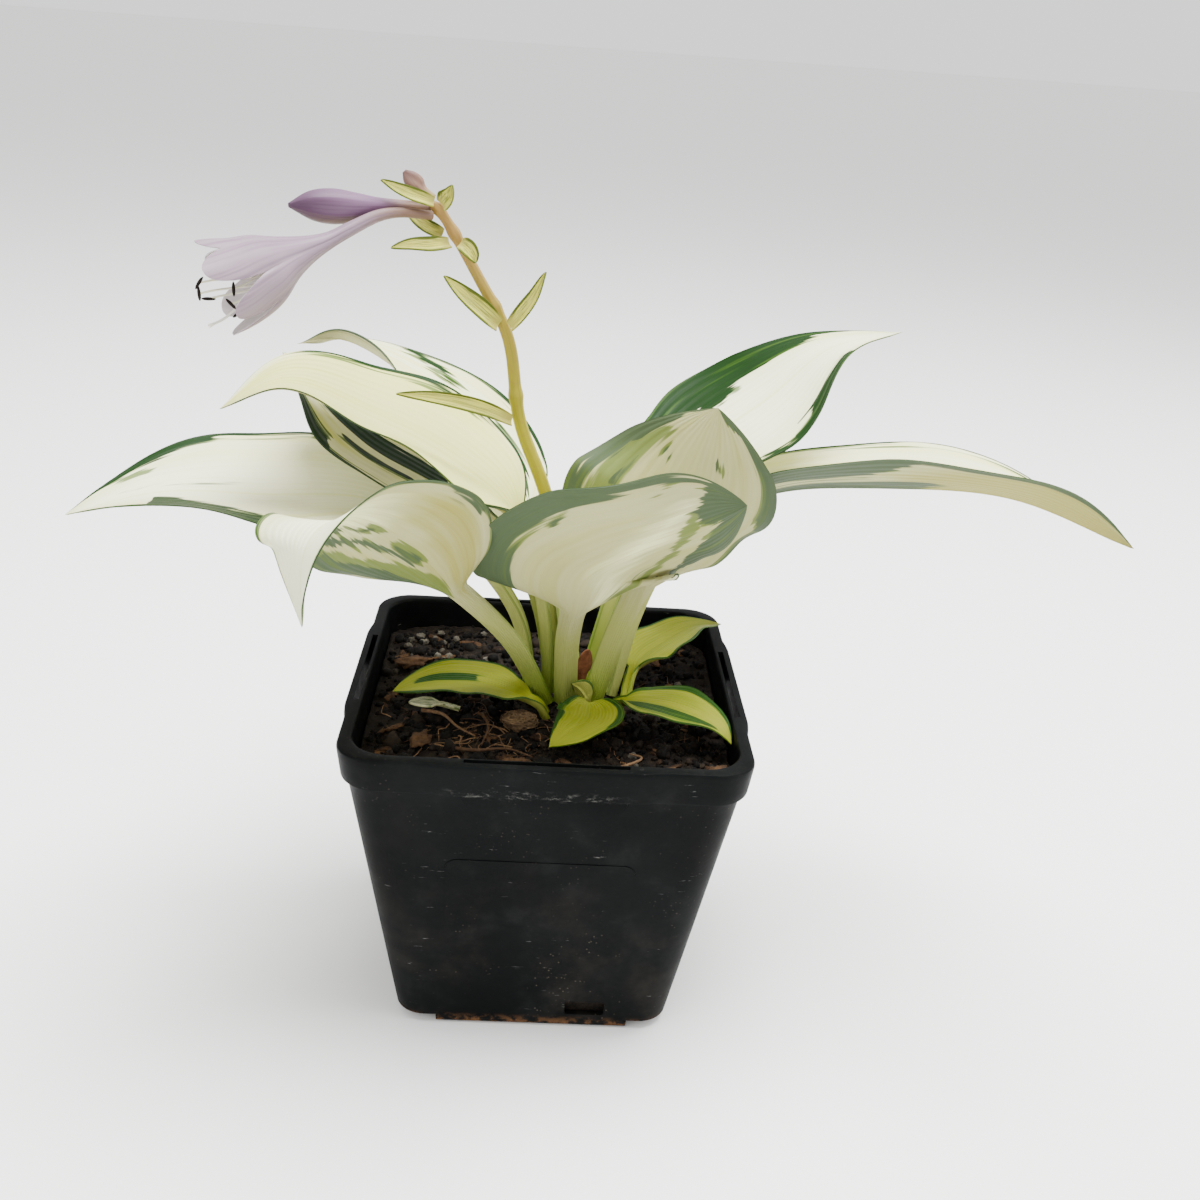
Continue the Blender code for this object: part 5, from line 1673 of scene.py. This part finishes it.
def add_light(name, place, size, energy):
    light = bpy.data.lights.new(name, "AREA")
    light.shape = "DISK"
    light.size = size
    light.energy = energy
    made = bpy.data.objects.new(name, light)
    made.location = place
    made.rotation_euler = (Vector(LIGHT_AIM) - Vector(place)).to_track_quat("-Z", "Y").to_euler()
    bpy.context.scene.collection.objects.link(made)


def add_studio():
    """A pale floor, an even pale surround and three large soft lights."""
    world = bpy.data.worlds.new("surround")
    world.use_nodes = True
    world.node_tree.nodes["Background"].inputs["Color"].default_value = (1, 1, 1, 1)
    world.node_tree.nodes["Background"].inputs["Strength"].default_value = SURROUND
    bpy.context.scene.world = world
    for light in LIGHTS:
        add_light(*light)
    mesh = bpy.data.meshes.new("floor")
    corners = [(x * FLOOR_REACH, y * FLOOR_REACH, 0) for x, y in ((-1, -1), (1, -1), (1, 1), (-1, 1))]
    mesh.from_pydata(corners, [], [(0, 1, 2, 3)])
    floor = bpy.data.objects.new("floor", mesh)
    paint = Shader("floor_paint")
    paint.surface.inputs["Base Color"].default_value = FLOOR_PAINT
    paint.surface.inputs["Roughness"].default_value = 0.85
    mesh.materials.append(paint.material)
    bpy.context.scene.collection.objects.link(floor)


# The camera stands a little above the plant and looks slightly down on it.
CAMERA_PLACE = (-0.0064, -0.3376, 0.2556)
CAMERA_YAW = -3.26
CAMERA_PITCH = 22.69
CAMERA_ROLL = 4.22
CAMERA_LENS = 40.2


def add_camera():
    yaw = math.radians(CAMERA_YAW)
    pitch = math.radians(CAMERA_PITCH)
    roll = math.radians(CAMERA_ROLL)
    ahead = Vector((-math.sin(yaw) * math.cos(pitch), math.cos(yaw) * math.cos(pitch), -math.sin(pitch)))
    right = Vector((math.cos(yaw), math.sin(yaw), 0))
    up = right.cross(ahead)
    turned_right = right * math.cos(roll) + up * math.sin(roll)
    turned_up = up * math.cos(roll) - right * math.sin(roll)
    lens = bpy.data.cameras.new("camera")
    lens.lens = CAMERA_LENS
    lens.sensor_width = 36
    lens.clip_start = 0.01
    lens.clip_end = 200
    camera = bpy.data.objects.new("camera", lens)
    facing = Matrix((turned_right, turned_up, -ahead)).transposed().to_4x4()
    camera.matrix_world = Matrix.Translation(CAMERA_PLACE) @ facing
    bpy.context.scene.collection.objects.link(camera)
    bpy.context.scene.camera = camera


# --- Putting it together --------------------------------------------------------------------------


def main():
    add_camera()
    add_studio()
    add_pot(pot_material())
    peat = grain_material("peat")
    add_soil(peat)
    join_grains("soil_crumbs", crumb_grains(2400), 2, 0.5, 8, peat, "soil")
    white_grain = grain_material("perlite_grain")
    perlite = laid_grains(PERLITE) + small_perlite(44)
    perlite_nodes = [f"perlite_{i + 1}" for i in range(len(PERLITE))]
    join_grains("perlite_grains", perlite, 3, 0.45, 7, white_grain, "perlite", perlite_nodes)
    chip = grain_material("bark_chip")
    bark_nodes = [f"bark_{i + 1}" for i in range(len(BARK))]
    join_grains("bark_chips", laid_grains(BARK) + small_chips(150), 3, 0.55, 7, chip, "bark", bark_nodes)
    add_roots(grain_material("root_fibre"))
    add_clump(grain_material("clump_fibre"))

    big = leaf_material("leaf_big", "big", 0.22)
    small = leaf_material("leaf_small", "low", 0.22)
    for i, (name, leaf) in enumerate(LEAVES.items()):
        add_leaf(name, leaf, 1.7 * i + 0.6, small if name in LOW_LEAVES else big)
    small_leaf("leaf_buried_blade", "leaf_buried", "leaf", BURIED, 0.6, big)
    husk = grain_material("dry_husk")
    small_leaf("sheath_dry_husk", "sheath_dry", "sheath", SHEATH, 0.5, husk)
    crown_skin = stem_material("crown_skin")
    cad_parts["crown"].data.materials.clear()
    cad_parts["crown"].data.materials.append(crown_skin)

    add_scape(stem_material("scape_skin"))
    green = leaf_material("bract_leaf", "bract", 0.18)
    for i, (name, bract) in enumerate(BRACTS.items()):
        add_bract(name, bract, 20 + 1.3 * i, green)
    add_open_flower(petal_material("petal_open"))
    add_buds(petal_material("petal_bud"), petal_material("petal_young"))
    thread = stem_material("filament_skin")
    anther = grain_material("anther_skin")
    add_stamens(thread, anther, stem_material("style_skin"))


main()

bpy.context.view_layer.update()
